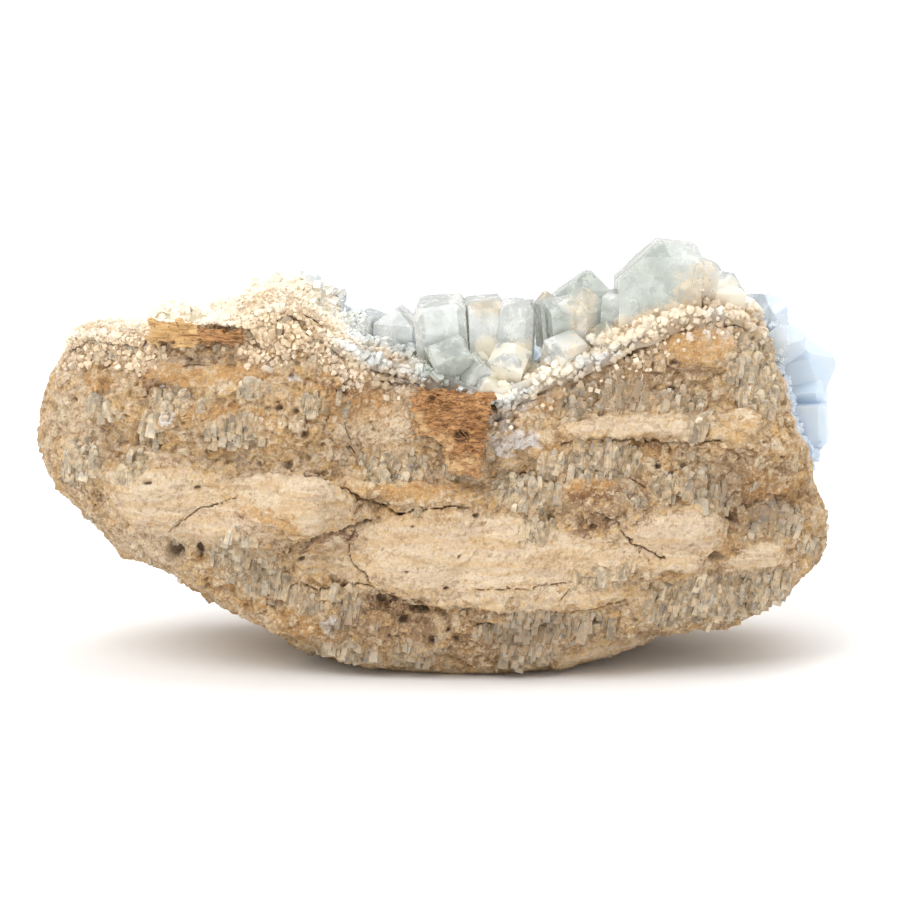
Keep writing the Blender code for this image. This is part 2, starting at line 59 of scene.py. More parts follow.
# Beds and broken blocks that stand out of the front face: U, V, half width, half height, turn
# anticlockwise in degrees, rise, softness of the edge.
PLATES = {
    "great_plate": (488, 562, 146, 46, -4, 0.9, 0.10),
    "great_plate_left": (352, 552, 62, 30, -14, 0.7, 0.12),
    "tilted_block": (292, 503, 58, 27, -6, 1.2, 0.10),
    "right_plate": (672, 538, 54, 30, 14, 1.0, 0.12),
    "right_lower_plate": (752, 556, 36, 11, 6, 0.7, 0.2),
    "left_smooth": (178, 500, 70, 38, -20, 0.6, 0.2),
    "upper_slab": (205, 377, 62, 14, -3, 0.6, 0.2),
    "left_slab": (150, 453, 34, 8, -6, 0.5, 0.3),
    "bright_ledge": (646, 428, 84, 12, 2, 0.8, 0.15),
    "right_block": (732, 428, 26, 19, -8, 1.1, 0.14),
    "ochre_knob": (702, 347, 28, 20, 8, 0.8, 0.2),
    "middle_shelf": (420, 492, 60, 12, -2, 0.5, 0.2),
    "brown_shelf": (596, 492, 44, 20, 4, 0.5, 0.15),
    "low_bed": (560, 598, 74, 9, 4, 0.6, 0.2),
    "low_rim": (612, 655, 48, 11, 8, 0.5, 0.25),
}
# Bands and patches of grey translucent crystal in the rock: U, V, half width, half height, turn.
CRYSTAL_BANDS = {
    "low_band_right": (722, 594, 84, 24, 10),
    "low_band_strip": (606, 574, 32, 6, 6),
    "low_band_middle": (545, 627, 66, 14, 5),
    "low_arch": (532, 656, 30, 10, 3),
    "left_hollow": (246, 562, 38, 24, -28),
    "left_hollow_low": (275, 582, 12, 17, -20),
    "keel_left": (350, 652, 28, 8, -10),
    "keel_middle": (410, 656, 24, 11, 0),
    "keel_far_left": (318, 650, 16, 7, -20),
    "below_plate": (350, 608, 14, 15, 0),
    "below_plate_left": (300, 603, 18, 9, -20),
    "band_under_ledge": (592, 462, 54, 17, 2),
    "band_left_of_shelf": (523, 493, 34, 19, -6),
    "middle_white_grey": (392, 466, 32, 15, -4),
    "middle_dark": (455, 468, 13, 10, 0),
    "right_grains": (664, 486, 16, 13, 0),
    "right_columns": (707, 492, 26, 16, -30),
    "right_translucent": (755, 375, 26, 40, 0),
    "top_right_grey": (712, 316, 30, 14, 0),
    "dark_green_spot": (629, 497, 12, 9, 0),
    "plate_spot": (533, 530, 19, 12, 0),
    "right_hollow_grains": (772, 518, 26, 16, -10),
    "right_edge_spot": (806, 546, 9, 9, 0),
    "hump_grey": (268, 318, 22, 14, 0),
}
# Smaller pockets of the same crystal.
CRYSTAL_POCKETS = (
    (581, 404, 22, 17, 20), (615, 399, 18, 20, -20), (640, 396, 9, 16, 20), (682, 404, 26, 12, -10),
    (703, 428, 12, 10, 0), (250, 388, 14, 8, 8), (165, 400, 15, 9, 0), (202, 407, 9, 6, 0),
    (99, 406, 11, 9, 0), (78, 460, 20, 17, 40), (136, 468, 12, 11, 0), (147, 430, 12, 14, 0),
    (228, 428, 26, 14, 0), (312, 407, 12, 9, 0), (240, 325, 14, 9, 0), (118, 340, 34, 10, 6),
)
# Where the stone is cream, ochre, rusty, chalky or broadly brown, in the same terms; the rusty and brown
# patches also hold painted shade.
PALE = {
    "left_slab": (150, 453, 30, 7, -6),
    "bright_ledge": (640, 427, 80, 12, 2),
    "great_plate": (480, 556, 150, 44, -4),
    "right_plate": (672, 538, 54, 32, 14),
    "tilted_block": (290, 500, 56, 24, -6),
    "left_smooth": (178, 505, 64, 36, -20),
    "ledge_below_bark": (372, 432, 46, 16, -10),
    "low_rim": (612, 655, 46, 10, 8),
    "right_lower_plate": (752, 556, 34, 10, 6),
    "below_block": (250, 524, 40, 14, -20),
    "far_left": (78, 440, 22, 50, 20),
    "left_top": (110, 352, 60, 12, 0),
    "upper_middle": (385, 425, 34, 24, 0),
    "left_low": (150, 545, 40, 22, -30),
}
OCHRE = {
    "upper_slab": (180, 378, 36, 12, -3),
    "upper_slab_right": (240, 372, 30, 10, -3),
    "knob": (702, 344, 30, 17, 8),
    "knob_left": (676, 352, 16, 8, -20),
    "spot": (546, 402, 14, 12, 0),
    "left_stain": (96, 382, 14, 17, 20),
    "under_ledge": (660, 449, 30, 7, -6),
    "shelf": (420, 490, 52, 10, -2),
    "brown_shelf": (585, 484, 34, 10, 6),
    "shelf_left": (550, 446, 12, 7, 0),
    "left_middle": (225, 415, 40, 10, 0),
    "right_upper": (770, 490, 30, 14, -20),
    "right_low": (725, 545, 14, 10, 0),
    "low_left": (235, 590, 30, 9, -30),
    "keel": (300, 625, 34, 10, -24),
    "middle_top": (350, 395, 40, 24, -10),
    "block_foot": (272, 520, 30, 9, -20),
}
# Rust stains, with painted shade in the gap under the tilted block, in the keel's recesses and under the
# ledge.
RUST_AND_SHADE = {
    "stain_plate": (596, 524, 26, 8, 16),
    "stain_gap": (640, 546, 18, 3, -36),
    "shelf_dark": (600, 494, 34, 6, 6),
    "under_ledge": (664, 448, 26, 5, -4),
    "right_hollow": (752, 506, 34, 13, -12),
    "keel_recess": (404, 604, 22, 13, 0),
    "keel_recess_left": (384, 596, 8, 9, 0),
    "low_band": (486, 628, 20, 7, 4),
    "knob_foot": (676, 392, 10, 8, 0),
    "left_edge": (92, 494, 15, 6, -40),
    "gap_under_block": (322, 536, 34, 5, 12),
}
# Small rust spots.
RUST_SPOTS = (
    (298, 428, 7, 8, 0), (325, 432, 6, 6, 0), (148, 386, 6, 5, 0), (255, 594, 8, 4, -20),
    (275, 603, 8, 4, -20), (731, 548, 9, 6, 0), (340, 388, 18, 5, -20), (286, 350, 14, 5, -30),
)
WHITE = {
    "speck": (164, 413, 9, 7, 20),
    "cream_spot": (290, 378, 6, 5, 0),
    "middle": (416, 472, 12, 5, 10),
    "lilac": (516, 441, 25, 10, 0),
    "lilac_up": (504, 421, 9, 9, 0),
    "knob_side": (724, 308, 6, 14, -20),
    "rim_right": (742, 296, 30, 9, 0),
    "low_crystal": (327, 627, 10, 7, 0),
    "under_mass": (545, 372, 34, 10, 10),
    "under_mass_left": (520, 400, 16, 10, 0),
    "low_band_light": (700, 599, 14, 9, 0),
}
# Broad brown tone, with painted shade on the downward-facing keel, in hollows and recesses and under the
# knob.
BROWN_AND_SHADE_PATCHES = {
    "keel": (385, 625, 95, 30, -6),
    "keel_middle": (520, 640, 105, 18, 6),
    "upper_right": (630, 388, 70, 26, 6),
    "right_hollow": (765, 508, 38, 20, -10),
    "right_band": (735, 480, 50, 26, -10),
    "brown_shelf": (598, 500, 52, 20, 4),
    "keel_recess": (404, 607, 28, 15, 0),
    "keel_low": (450, 640, 30, 12, 0),
    "under_knob": (690, 368, 40, 12, 0),
    "shelf_top": (640, 334, 76, 26, 16),
    "hump_front": (268, 330, 42, 24, 10),
}
# Holes: U, V, half width, half height, depth. Their insides are painted dark as shade.
PITS = {
    "round_hole": (176, 552, 12, 11, 2.6),
    "slot": (202, 550, 5, 13, 1.2),
    "upper_left": (133, 354, 4, 4, 1.0),
    "hump": (289, 357, 4, 3, 0.8),
    "far_left": (72, 400, 3, 3, 0.7),
    "block_top": (286, 464, 10, 5, 1.0),
    "block_top_right": (322, 474, 10, 6, 1.0),
    "rim_right": (735, 333, 6, 4, 1.0),
    "right_hole": (716, 557, 12, 8, 1.4),
    "right_hollow": (732, 517, 7, 9, 1.4),
    "dark_green": (630, 497, 10, 7, 0.9),
    "right_grey": (744, 604, 6, 6, 0.8),
}
# Smaller holes, in the same terms.
SMALL_PITS = (
    (261, 396, 4, 3, 0.9), (277, 407, 5, 4, 1.0), (294, 411, 6, 5, 1.4), (304, 436, 6, 6, 1.4),
    (324, 413, 5, 4, 1.2), (149, 483, 6, 3, 0.8), (196, 486, 6, 3, 0.8), (394, 384, 8, 4, 1.2),
    (440, 442, 5, 5, 1.2), (497, 419, 4, 5, 1.2), (399, 515, 5, 3, 1.0), (476, 516, 5, 4, 1.1),
    (413, 527, 4, 3, 0.6), (609, 520, 8, 6, 1.4), (593, 527, 6, 4, 0.9), (384, 550, 3, 2, 0.5),
    (457, 555, 4, 2, 0.6), (303, 558, 6, 3, 0.7), (409, 570, 3, 2, 0.6), (445, 586, 5, 3, 0.9),
    (578, 580, 7, 3, 0.9), (674, 363, 7, 4, 1.0), (674, 391, 8, 5, 1.4), (683, 464, 5, 5, 1.1),
    (657, 464, 5, 4, 1.0), (670, 475, 4, 4, 0.9), (418, 606, 12, 9, 1.6), (384, 596, 7, 7, 1.3),
    (405, 618, 8, 5, 1.2), (485, 628, 14, 4, 1.0), (597, 620, 10, 5, 1.0), (432, 640, 7, 8, 1.0),
)
# Cracks: half width in pixels, depth, and the places they run through. Their insides are painted dark as
# shade.
CRACKS = {
    "left_crack": (0.9, 0.7, ((167, 530), (186, 518), (203, 508), (222, 503), (239, 499))),
    "middle_crack": (0.8, 0.6, ((344, 423), (350, 440), (355, 458), (361, 470))),
    "over_block": (1.3, 0.9, ((288, 470), (308, 480), (332, 482), (348, 490), (358, 500), (377, 503))),
    "shelf_crack": (
        1.6, 1.0, ((352, 494), (366, 501), (382, 506), (398, 514), (420, 510), (451, 506), (471, 506))
    ),
    "plate_crack": (0.9, 0.7, ((355, 530), (350, 545), (350, 556), (360, 569), (370, 582))),
    "gap_under_block": (2.3, 1.6, ((289, 551), (297, 541), (309, 539), (331, 531), (355, 524), (372, 518))),
    "right_plate_edge": (1.5, 1.0, ((616, 522), (629, 539), (650, 550), (664, 557))),
    "plate_foot": (
        1.3, 1.0, ((284, 585), (313, 589), (340, 586), (370, 584), (398, 596), (425, 598), (438, 611))
    ),
    "plate_foot_right": (1.0, 0.8, ((438, 611), (480, 613), (521, 616), (579, 608), (628, 601))),
    "diagonal": (1.1, 0.5, ((579, 580), (568, 589), (560, 599))),
    "slab_line": (0.7, 0.4, ((180, 368), (196, 364), (212, 364))),
    "upper_crack": (0.8, 0.6, ((337, 362), (340, 372), (342, 386))),
    "ledge_foot": (1.2, 0.8, ((560, 444), (600, 440), (640, 442), (690, 444), (722, 440))),
    "shelf_arch": (1.0, 0.7, ((556, 488), (572, 477), (600, 474), (630, 478), (646, 488))),
    "band_roof": (1.0, 0.7, ((486, 478), (510, 472), (540, 476), (556, 488))),
    "low_bed_roof": (0.8, 0.5, ((480, 590), (520, 588), (560, 582), (612, 570))),
}

# Colours, as red, green and blue in linear light.
TAN = (0.70, 0.47, 0.24)
TAN_LIGHT = (0.84, 0.64, 0.40)
TAN_DEEP = (0.40, 0.235, 0.11)
CREAM = (0.92, 0.76, 0.55)
BUFF = (0.76, 0.53, 0.27)
ROSE = (0.76, 0.58, 0.43)
UMBER = (0.34, 0.21, 0.11)
OCHRE_COLOUR = (0.62, 0.33, 0.11)
# Dark rust, also painted as shade in gaps and recesses.
RUST_AND_SHADE_COLOUR = (0.22, 0.10, 0.045)
GREY_CRYSTAL = (0.58, 0.45, 0.29)
GREY_LIGHT = (0.85, 0.74, 0.56)
GREY_DEEP = (0.26, 0.20, 0.13)
CHALK = (0.90, 0.88, 0.86)
# Painted shade inside pits, pores, cracks and bark hollows, and the bark's own dark specks.
HOLLOW_SHADE_AND_SPECK = (0.12, 0.07, 0.04)
CRACK_SHADE = (0.16, 0.09, 0.05)
STAIN = (0.72, 0.45, 0.18)
SPECK_COLOUR = (0.10, 0.07, 0.05)


def eased(low, high, value):
    """0 below low, 1 above high, and smooth between them."""
    share = np.clip((value - low) / (high - low), 0, 1)
    return share * share * (3 - 2 * share)


def sight(points):
    """Where the photograph shows these points, as U and V."""
    away = points - np.array(AIM)
    rise, level = math.sin(ELEVATION), math.cos(ELEVATION)
    depth = DISTANCE + away[:, 1] * level - away[:, 2] * rise
    scale = IMAGE_SIDE * LENS / SENSOR / depth
    up = away[:, 1] * rise + away[:, 2] * level
    return IMAGE_SIDE / 2 + away[:, 0] * scale, IMAGE_SIDE / 2 - up * scale


def scrambled(cells, salt):
    """A steady random number from 0 to 1 for each whole-numbered cell."""
    whole = cells.astype(np.int64)
    mixed = whole[..., 0] * 73856093 ^ whole[..., 1] * 19349663 ^ whole[..., 2] * 83492791
    mixed ^= salt * 2654435
    mixed = (mixed ^ (mixed >> 13)) * 1274126177 & 0x7FFFFFFF
    mixed = (mixed ^ (mixed >> 15)) * 668265263 & 0x7FFFFFFF
    return (mixed ^ (mixed >> 12)) % 65536 / 65535.0


def waves(points, size, salt=0):
    """Smooth noise from -1 to 1, with lumps of this size."""
    place = points / np.array(size, float)
    corner = np.floor(place)
    t = place - corner
    t = t * t * (3 - 2 * t)
    total = 0.0
    for n in range(8):
        step = np.array([n & 1, n >> 1 & 1, n >> 2 & 1])
        weight = np.prod(np.where(step, t, 1 - t), axis=1)
        total = total + weight * scrambled(corner + step, salt)
    return 2 * total - 1


def rough(points, size, octaves, salt=0):
    """Noise of several sizes, each half of the one before."""
    total, weight = 0.0, 1.0
    for octave in range(octaves):
        total = total + weight * waves(points, np.array(size, float) / 2**octave, salt + octave)
        weight *= 0.5
    return total


def grains(points, size, salt=0):
    """The nearest grain's random number, the way to its middle, and how near its edge a point is."""
    place = points / np.array(size, float)
    corner = np.floor(place)
    count = len(points)
    first, second = np.full(count, 9.0), np.full(count, 9.0)
    number, away = np.zeros(count), np.zeros((count, 3))
    for n in range(27):
        cell = corner + np.array([n % 3 - 1, n // 3 % 3 - 1, n // 9 - 1])
        middle = cell + np.stack([scrambled(cell, salt + k) for k in (1, 2, 3)], axis=1)
        gap = place - middle
        length = np.linalg.norm(gap, axis=1)
        nearer = length < first
        second = np.where(nearer, first, np.minimum(second, length))
        number = np.where(nearer, scrambled(cell, salt + 4), number)
        away = np.where(nearer[:, None], gap, away)
        first = np.where(nearer, length, first)
    return number, away, second - first


def chips(points, size, tilt, step, salt):
    """Height of a broken surface made of flat, tilted chips of this size."""
    number, away, _ = grains(points, size, salt)
    lean = np.stack([(number * f) % 1 - 0.5 for f in (7.3, 13.7, 29.1)], axis=1)
    return step * (number - 0.5) + tilt * np.mean(size) * (lean * away).sum(axis=1)


def reach(u, v, middle_u, middle_v, half_u, half_v, turn=0.0, power=3.0):
    """0 at the middle of a form, 1 on its outline, and more outside."""
    a = math.radians(turn)
    right, up = u - middle_u, middle_v - v
    across = (right * math.cos(a) + up * math.sin(a)) / half_u
    upward = (up * math.cos(a) - right * math.sin(a)) / half_v
    return (np.abs(across) ** power + np.abs(upward) ** power) ** (1 / power)


def patches(u, v, forms, soft=0.25):
    """1 inside any of these forms, and 0 away from all of them."""
    total = np.zeros(len(u))
    for form in forms:
        total = np.maximum(total, 1 - eased(1 - soft, 1 + soft, reach(u, v, *form, power=2.4)))
    return total


def crack_distance(u, v, route):
    """Distance in pixels from a line through these places."""
    nearest = np.full(len(u), 1e3)
    for (u0, v0), (u1, v1) in zip(route, route[1:]):
        du, dv = u1 - u0, v1 - v0
        share = np.clip(((u - u0) * du + (v - v0) * dv) / (du * du + dv * dv), 0, 1)
        nearest = np.minimum(nearest, np.hypot(u - u0 - share * du, v - v0 - share * dv))
    return nearest


def read_each(items, what, count=1):
    """What each of these items holds under this name: one number, or a row of more."""
    flat = np.empty(len(items) * count)
    items.foreach_get(what, flat)
    return flat if count == 1 else flat.reshape(-1, count)


def corners(mesh):
    """The mesh's points in millimetres."""
    return read_each(mesh.vertices, "co", 3) / MM


def outward(mesh):
    """The outward direction at each of the mesh's points."""
    return read_each(mesh.vertices, "normal", 3)


def move_corners(mesh, points):
    """Moves the mesh's points to these places in millimetres."""
    mesh.vertices.foreach_set("co", (points * MM).ravel())
    mesh.update()


def keep(mesh, name, values):
    """Stores a number at each of the mesh's corners, for the material."""
    mesh.attributes.new(name, "FLOAT", "POINT").data.foreach_set("value", np.asarray(values, float))


def kept(mesh, name):
    """The numbers stored under this name."""
    return read_each(mesh.attributes[name].data, "value")


def finished(bm, mesh):
    """The mesh with its worked faces written to it."""
    bm.to_mesh(mesh)
    bm.free()
    return mesh


def in_scene(name, data):
    """A new object in the scene."""
    thing = bpy.data.objects.new(name, data)
    bpy.context.scene.collection.objects.link(thing)
    return thing


def place_piece(name, mesh, material, node):
    """Puts a mesh in the scene as a piece, in place of a node of the frame if one is named."""
    mesh.materials.append(material)
    piece = in_scene(name, mesh)
    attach(piece, "root")
    if node:
        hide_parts(node)


def even_mesh(node, grid):
    """A copy of a node's mesh, remade with even faces of this size and smoothed a little."""
    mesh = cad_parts[node].data.copy()
    mesh.materials.clear()
    helper = in_scene(node + "_copy", mesh)
    remesh = helper.modifiers.new("even", "REMESH")
    remesh.mode = "VOXEL"
    remesh.voxel_size = grid * MM
    graph = bpy.context.evaluated_depsgraph_get()
    even = bpy.data.meshes.new_from_object(helper.evaluated_get(graph))
    bpy.data.objects.remove(helper)
    bm = bmesh.new()
    bm.from_mesh(even)
    for _ in range(SMOOTHINGS):
        bmesh.ops.smooth_vert(
            bm, verts=bm.verts, factor=0.5, use_axis_x=True, use_axis_y=True, use_axis_z=True
        )
    bm.normal_update()
    return bm, even


def tree_of(node):
    """A node's faces, for finding the place on them that is nearest to a point."""
    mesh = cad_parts[node].data
    return BVHTree.FromPolygons([v.co for v in mesh.vertices], [tuple(f.vertices) for f in mesh.polygons])


def rock_mesh():
    """The rock with a fine front face, finer still along the cracks, ready for its beds, ledges, chips,
    crystal columns, holes and cracks.
    """
    bm, mesh = even_mesh("matrix_rock", ROCK_GRID)
    crust = tree_of("celestite_crust")
    front = [e for e in bm.edges if min(f.normal.y for f in e.link_faces) < -0.12]
    front = [e for e in front if crust.find_nearest(e.verts[0].co)[3] > HIDDEN_GAP * MM]
    bmesh.ops.subdivide_edges(bm, edges=front, cuts=FRONT_CUTS, use_grid_fill=True)
    bm.normal_update()
    facing = [v for v in bm.verts if v.normal.y < 0.1]
    points = np.array([v.co for v in facing]) / MM
    u, v_place = sight(points)
    close = np.zeros(len(facing), bool)
    for half_width, _, route in CRACKS.values():
        close |= crack_distance(u, v_place, route) < half_width + CRACK_MARGIN
    marked = {facing[n] for n in np.flatnonzero(close)}
    fine = [e for e in bm.edges if e.verts[0] in marked and e.verts[1] in marked]
    bmesh.ops.subdivide_edges(bm, edges=fine, cuts=1, use_grid_fill=True)
    bmesh.ops.triangulate(bm, faces=[f for f in bm.faces if len(f.verts) > 4])
    bmesh.ops.recalc_face_normals(bm, faces=bm.faces)
    return finished(bm, mesh)


def dress_rock(mesh):
    """Moves the rock's points by its fine relief and stores where each kind of stone is, and where shade is
    painted.
    """
    points, normals = corners(mesh), outward(mesh)
    u, v = sight(points)
    front = eased(0.05, 0.4, -normals[:, 1])
    warp_u = u + 7 * rough(points, (3.4, 3.4, 3.4), 3, 11) + 3 * waves(points, (1.3, 1.3, 1.3), 16)
    warp_v = v + 5 * rough(points, (3.4, 3.4, 2.4), 3, 21) + 2.4 * waves(points, (1.5, 1.5, 1.0), 26)

    plates, rise = np.zeros(len(points)), np.zeros(len(points))
    for pu, pv, half_u, half_v, turn, height, edge in PLATES.values():
        inside = 1 - eased(1 - edge, 1 + edge, reach(warp_u, warp_v, pu, pv, half_u, half_v, turn))
        plates = np.maximum(plates, inside)
        rise = np.maximum(rise, inside * height)
    plates *= front

    bands = patches(warp_u, warp_v, (*CRYSTAL_BANDS.values(), *CRYSTAL_POCKETS)) * front
    pale = patches(warp_u, warp_v, PALE.values(), 0.5)
    ochre = patches(warp_u, warp_v, OCHRE.values(), 0.6)
    # Rust stains, and painted shade in the gap under the block, in recesses and under the ledge.
    rust_and_shade = patches(warp_u, warp_v, (*RUST_AND_SHADE.values(), *RUST_SPOTS), 0.7)
    white = patches(warp_u, warp_v, WHITE.values(), 0.4)
    # Brown tone and painted shade on the keel, in recesses and under the knob.
    brown_and_shade = patches(warp_u, warp_v, BROWN_AND_SHADE_PATCHES.values(), 0.8)
    near_crust = tree_of("celestite_crust")
    crust_gap = np.full(len(points), 99.0)
    for n in np.flatnonzero(points[:, 2] > RIM_LOWEST):
        crust_gap[n] = near_crust.find_nearest(Vector(points[n] * MM))[3] / MM
    ragged_gap = crust_gap + 1.5 * rough(points, (2.4, 2.4, 2.4), 3, 141)
    pale = np.maximum(pale, (1 - brown_and_shade) * eased(7.5, 2.0, ragged_gap))
    white = np.maximum(white, 0.6 * (1 - brown_and_shade) * eased(2.6, 0.4, ragged_gap))

    bedding = points + np.outer(rough(points, (16, 16, 16), 2, 5), (0, 0, 1.6))
    bedding[:, 2] += 0.07 * points[:, 0]
    back = eased(-0.05, 0.3, normals[:, 1])
    beds = waves(bedding, (34, 34, 7), 161) + 0.4 * waves(bedding, (9, 9, 4), 166)
    pale = pale * front + back * eased(0.05, 0.4, beds)
    bands = np.maximum(bands, back * eased(0.05, 0.3, -beds))

    number, _, edge_room = grains(points, (1.9, 1.9, 2.3), 51)
    loose_share = 0.30 * (1 - plates)
    loose = (number < loose_share) * eased(0.02, 0.12, edge_room)
    off_front = 1 - front
    crystal = np.maximum(bands, loose * (0.75 + 0.25 * off_front))

    lamina = rough(bedding, (11, 11, 0.9), 3, 31)
    coarse = chips(points, (3.4, 3.4, 2.6), 0.44, 0.85, 61) + chips(points, (1.5, 1.5, 1.2), 0.46, 0.40, 71)
    coarse = (coarse - 0.30 * eased(0.16, 0.0, edge_room)) * (0.45 + 0.55 * np.maximum(front, back))
    columns = chips(points, (1.0, 1.0, 3.2), 0.30, 0.75, 81) + chips(points, (0.6, 0.6, 1.6), 0.2, 0.2, 86)
    fine = rough(points, (0.9, 0.9, 0.7), 3, 91)
    layers = chips(bedding, (7, 7, 1.3), 0.06, 0.55, 151) + chips(bedding, (4, 4, 0.8), 0.06, 0.3, 156)
    stone = (1 - 0.7 * plates) * coarse + 0.12 * lamina + (0.2 + 0.5 * plates) * layers + 0.12 * fine
    relief = stone * (1 - crystal) + (columns + 0.15 * (number - 0.5)) * crystal * 0.9
    relief += rise * front + 0.9 * back * eased(0.0, 0.25, beds)

    # Pits and pores are sunk, and marked for painted shade inside them.
    dark = np.zeros(len(points))
    round_u, round_v = u + 0.4 * (warp_u - u), v + 0.4 * (warp_v - v)
    for pu, pv, half_u, half_v, depth in (*PITS.values(), *SMALL_PITS):
        far = reach(round_u, round_v, pu, pv, 0.8 * half_u, 0.8 * half_v, power=2.0)
        inside = 1 - eased(0.4, 1.15, far)
        relief -= depth * inside * front
        dark = np.maximum(dark, inside * front)
    pore_number, away, _ = grains(points, (2.6, 2.6, 2.2), 101)
    pore_radius = 0.13 + 0.14 * ((pore_number * 17) % 1)
    pore = (pore_number < 0.42) * (1 - eased(0.5, 1.2, np.linalg.norm(away, axis=1) / pore_radius))
    pore *= 1 - 0.75 * plates
    relief -= 0.45 * pore
    dark = np.maximum(dark, 0.85 * pore * (1 - eased(0.3, 0.8, plates)))
    # Cracks are sunk, and marked for painted shade inside them.
    cracks = np.zeros(len(points))
    crook_u = u + 2.2 * rough(points, (1.3, 1.3, 1.3), 2, 111)
    crook_v = v + 2.2 * rough(points, (1.3, 1.3, 1.3), 2, 121)
    for half_width, depth, route in CRACKS.values():
        width = 0.8 * half_width * (0.75 + 0.5 * rough(points, (2.4, 2.4, 2.4), 2, 131))
        inside = 1 - eased(0.2 * width, 0.8 * width + 0.5, crack_distance(crook_u, crook_v, route))
        relief -= depth * inside * front
        cracks = np.maximum(cracks, inside * front)

    foot = eased(1.2, 0.2, points[:, 2]) * eased(-0.5, -0.9, normals[:, 2])
    moved = points + normals * (relief * (1 - foot))[:, None]
    moved[:, 2] = np.maximum(moved[:, 2], 0.0)
    move_corners(mesh, moved)
    seam = eased(0.14, 0.02, edge_room) * (1 - plates)
    rim = eased(5.5, 1.0, crust_gap)
    for name, values in {"ochre": ochre, "rust_and_shade": rust_and_shade, "white": white, "brown_and_shade": brown_and_shade, "rim": rim}.items():
        keep(mesh, name, values * front)
    for name, values in {"crystal": crystal, "band": bands, "pale": pale, "dark": dark}.items():
        keep(mesh, name, values)
    for name, values in {"crack": cracks, "plate": plates, "grain": number, "seam": seam}.items():
        keep(mesh, name, values)


class Graph:
    """A material's nodes, made by short calls that give back the socket to use next."""

    def __init__(self, name):
        self.material = bpy.data.materials.new(name)
        self.material.use_nodes = True
        self.tree = self.material.node_tree
        self.shader = self.tree.nodes["Principled BSDF"]
        self.place = self.node("ShaderNodeTexCoord").outputs["Object"]

    def node(self, kind, **values):
        made = self.tree.nodes.new(kind)
        for key, value in values.items():
            setattr(made, key, value)
        return made

    def feed(self, socket, value):
        """Links a socket to this input, or sets a plain number or colour."""
        if isinstance(value, bpy.types.NodeSocket):
            self.tree.links.new(value, socket)
        elif isinstance(value, tuple) and len(value) == 3 and socket.type == "RGBA":
            socket.default_value = (*value, 1)
        else:
            socket.default_value = value

    def stretched(self, along):
        """Places scaled along each axis. A pattern is longer where the scale is small."""
        mapping = self.node("ShaderNodeMapping")
        self.feed(mapping.inputs["Vector"], self.place)
        mapping.inputs["Scale"].default_value = along
        return mapping.outputs["Vector"]

    def noise(self, size, detail=4.0, roughness=0.55, stretch=None, distortion=0.0):
        """Noise with lumps of this size in millimetres."""
        made = self.node("ShaderNodeTexNoise")
        self.feed(made.inputs["Vector"], self.stretched(stretch) if stretch else self.place)
        made.inputs["Scale"].default_value = 1 / (size * MM)
        made.inputs["Detail"].default_value = detail
        made.inputs["Roughness"].default_value = roughness
        made.inputs["Distortion"].default_value = distortion
        return made.outputs["Fac"]

    def cells(self, size, stretch, shake):
        """Three random numbers for each cell of this size in millimetres, its outline shaken by noise."""
        wander = self.node("ShaderNodeTexNoise")
        self.feed(wander.inputs["Vector"], self.place)
        wander.inputs["Scale"].default_value = 1.6 / (size * MM)
        moved = self.node("ShaderNodeVectorMath", operation="MULTIPLY_ADD")
        self.feed(moved.inputs[0], wander.outputs["Color"])
        moved.inputs[1].default_value = (shake * MM, shake * MM, shake * MM)
        self.feed(moved.inputs[2], self.stretched(stretch))
        made = self.node("ShaderNodeTexVoronoi")
        self.feed(made.inputs["Vector"], moved.outputs["Vector"])
        made.inputs["Scale"].default_value = 1 / (size * MM)
        apart = self.node("ShaderNodeSeparateColor")
        self.feed(apart.inputs[0], made.outputs["Color"])
        return apart.outputs[0], apart.outputs[1], apart.outputs[2]

    def across(self):
        """How far right a place is, in metres."""
        apart = self.node("ShaderNodeSeparateXYZ")
        self.feed(apart.inputs[0], self.place)
        return apart.outputs["X"]

    def stored(self, name):
        """A number kept on the mesh's corners."""
        return self.node("ShaderNodeAttribute", attribute_name=name).outputs["Fac"]

    def calc(self, kind, a, b=0.0):
        made = self.node("ShaderNodeMath", operation=kind)
        self.feed(made.inputs[0], a)
        self.feed(made.inputs[1], b)
        return made.outputs[0]

    def times(self, a, b):
        return self.calc("MULTIPLY", a, b)

    def between(self, value, low, high, start=0.0, end=1.0):
        """Runs smoothly from start to end while the value goes from low to high."""
        made = self.node("ShaderNodeMapRange", interpolation_type="SMOOTHSTEP")
        for socket, number in zip(made.inputs, (value, low, high, start, end)):
            self.feed(socket, number)
        return made.outputs["Result"]

    def mix(self, share, a, b):
        """A colour between a and b."""
        made = self.node("ShaderNodeMix", data_type="RGBA")
        self.feed(made.inputs[0], share)
        self.feed(made.inputs[6], a)
        self.feed(made.inputs[7], b)
        return made.outputs[2]

    def blend(self, share, a, b):
        """A number between a and b."""
        made = self.node("ShaderNodeMix", data_type="FLOAT")
        self.feed(made.inputs[0], share)
        self.feed(made.inputs[2], a)
        self.feed(made.inputs[3], b)
        return made.outputs[0]

    def painted(self, colour, *coats):
        """A colour under coats of others, each up to its share where a number goes from low to high."""
        for value, low, high, share, paint in coats:
            colour = self.mix(self.between(value, low, high, 0, share), colour, paint)
        return colour

    def broken(self, value, noise, spread):
        """A stored patch whose outline is broken up by noise."""
        core = self.times(value, 0.66)
        shifted = self.calc("ADD", core, self.times(self.calc("SUBTRACT", noise, 0.5), spread * 2))
        return self.times(self.between(shifted, 0.22, 0.66), self.between(value, 0.02, 0.2))

    def bump(self, height, depth, strength, under=None):
        """Fine relief of this depth in millimetres, over another if one is given."""
        made = self.node("ShaderNodeBump")
        made.inputs["Strength"].default_value = strength
        made.inputs["Distance"].default_value = depth * MM
        self.feed(made.inputs["Height"], height)
        if under:
            self.feed(made.inputs["Normal"], under)
        return made.outputs["Normal"]

    def surface(self, **values):
        """The finished material, with these inputs of its shader set."""
        for name, value in values.items():
            self.feed(self.shader.inputs[name.replace("_", " ")], value)
        return self.material


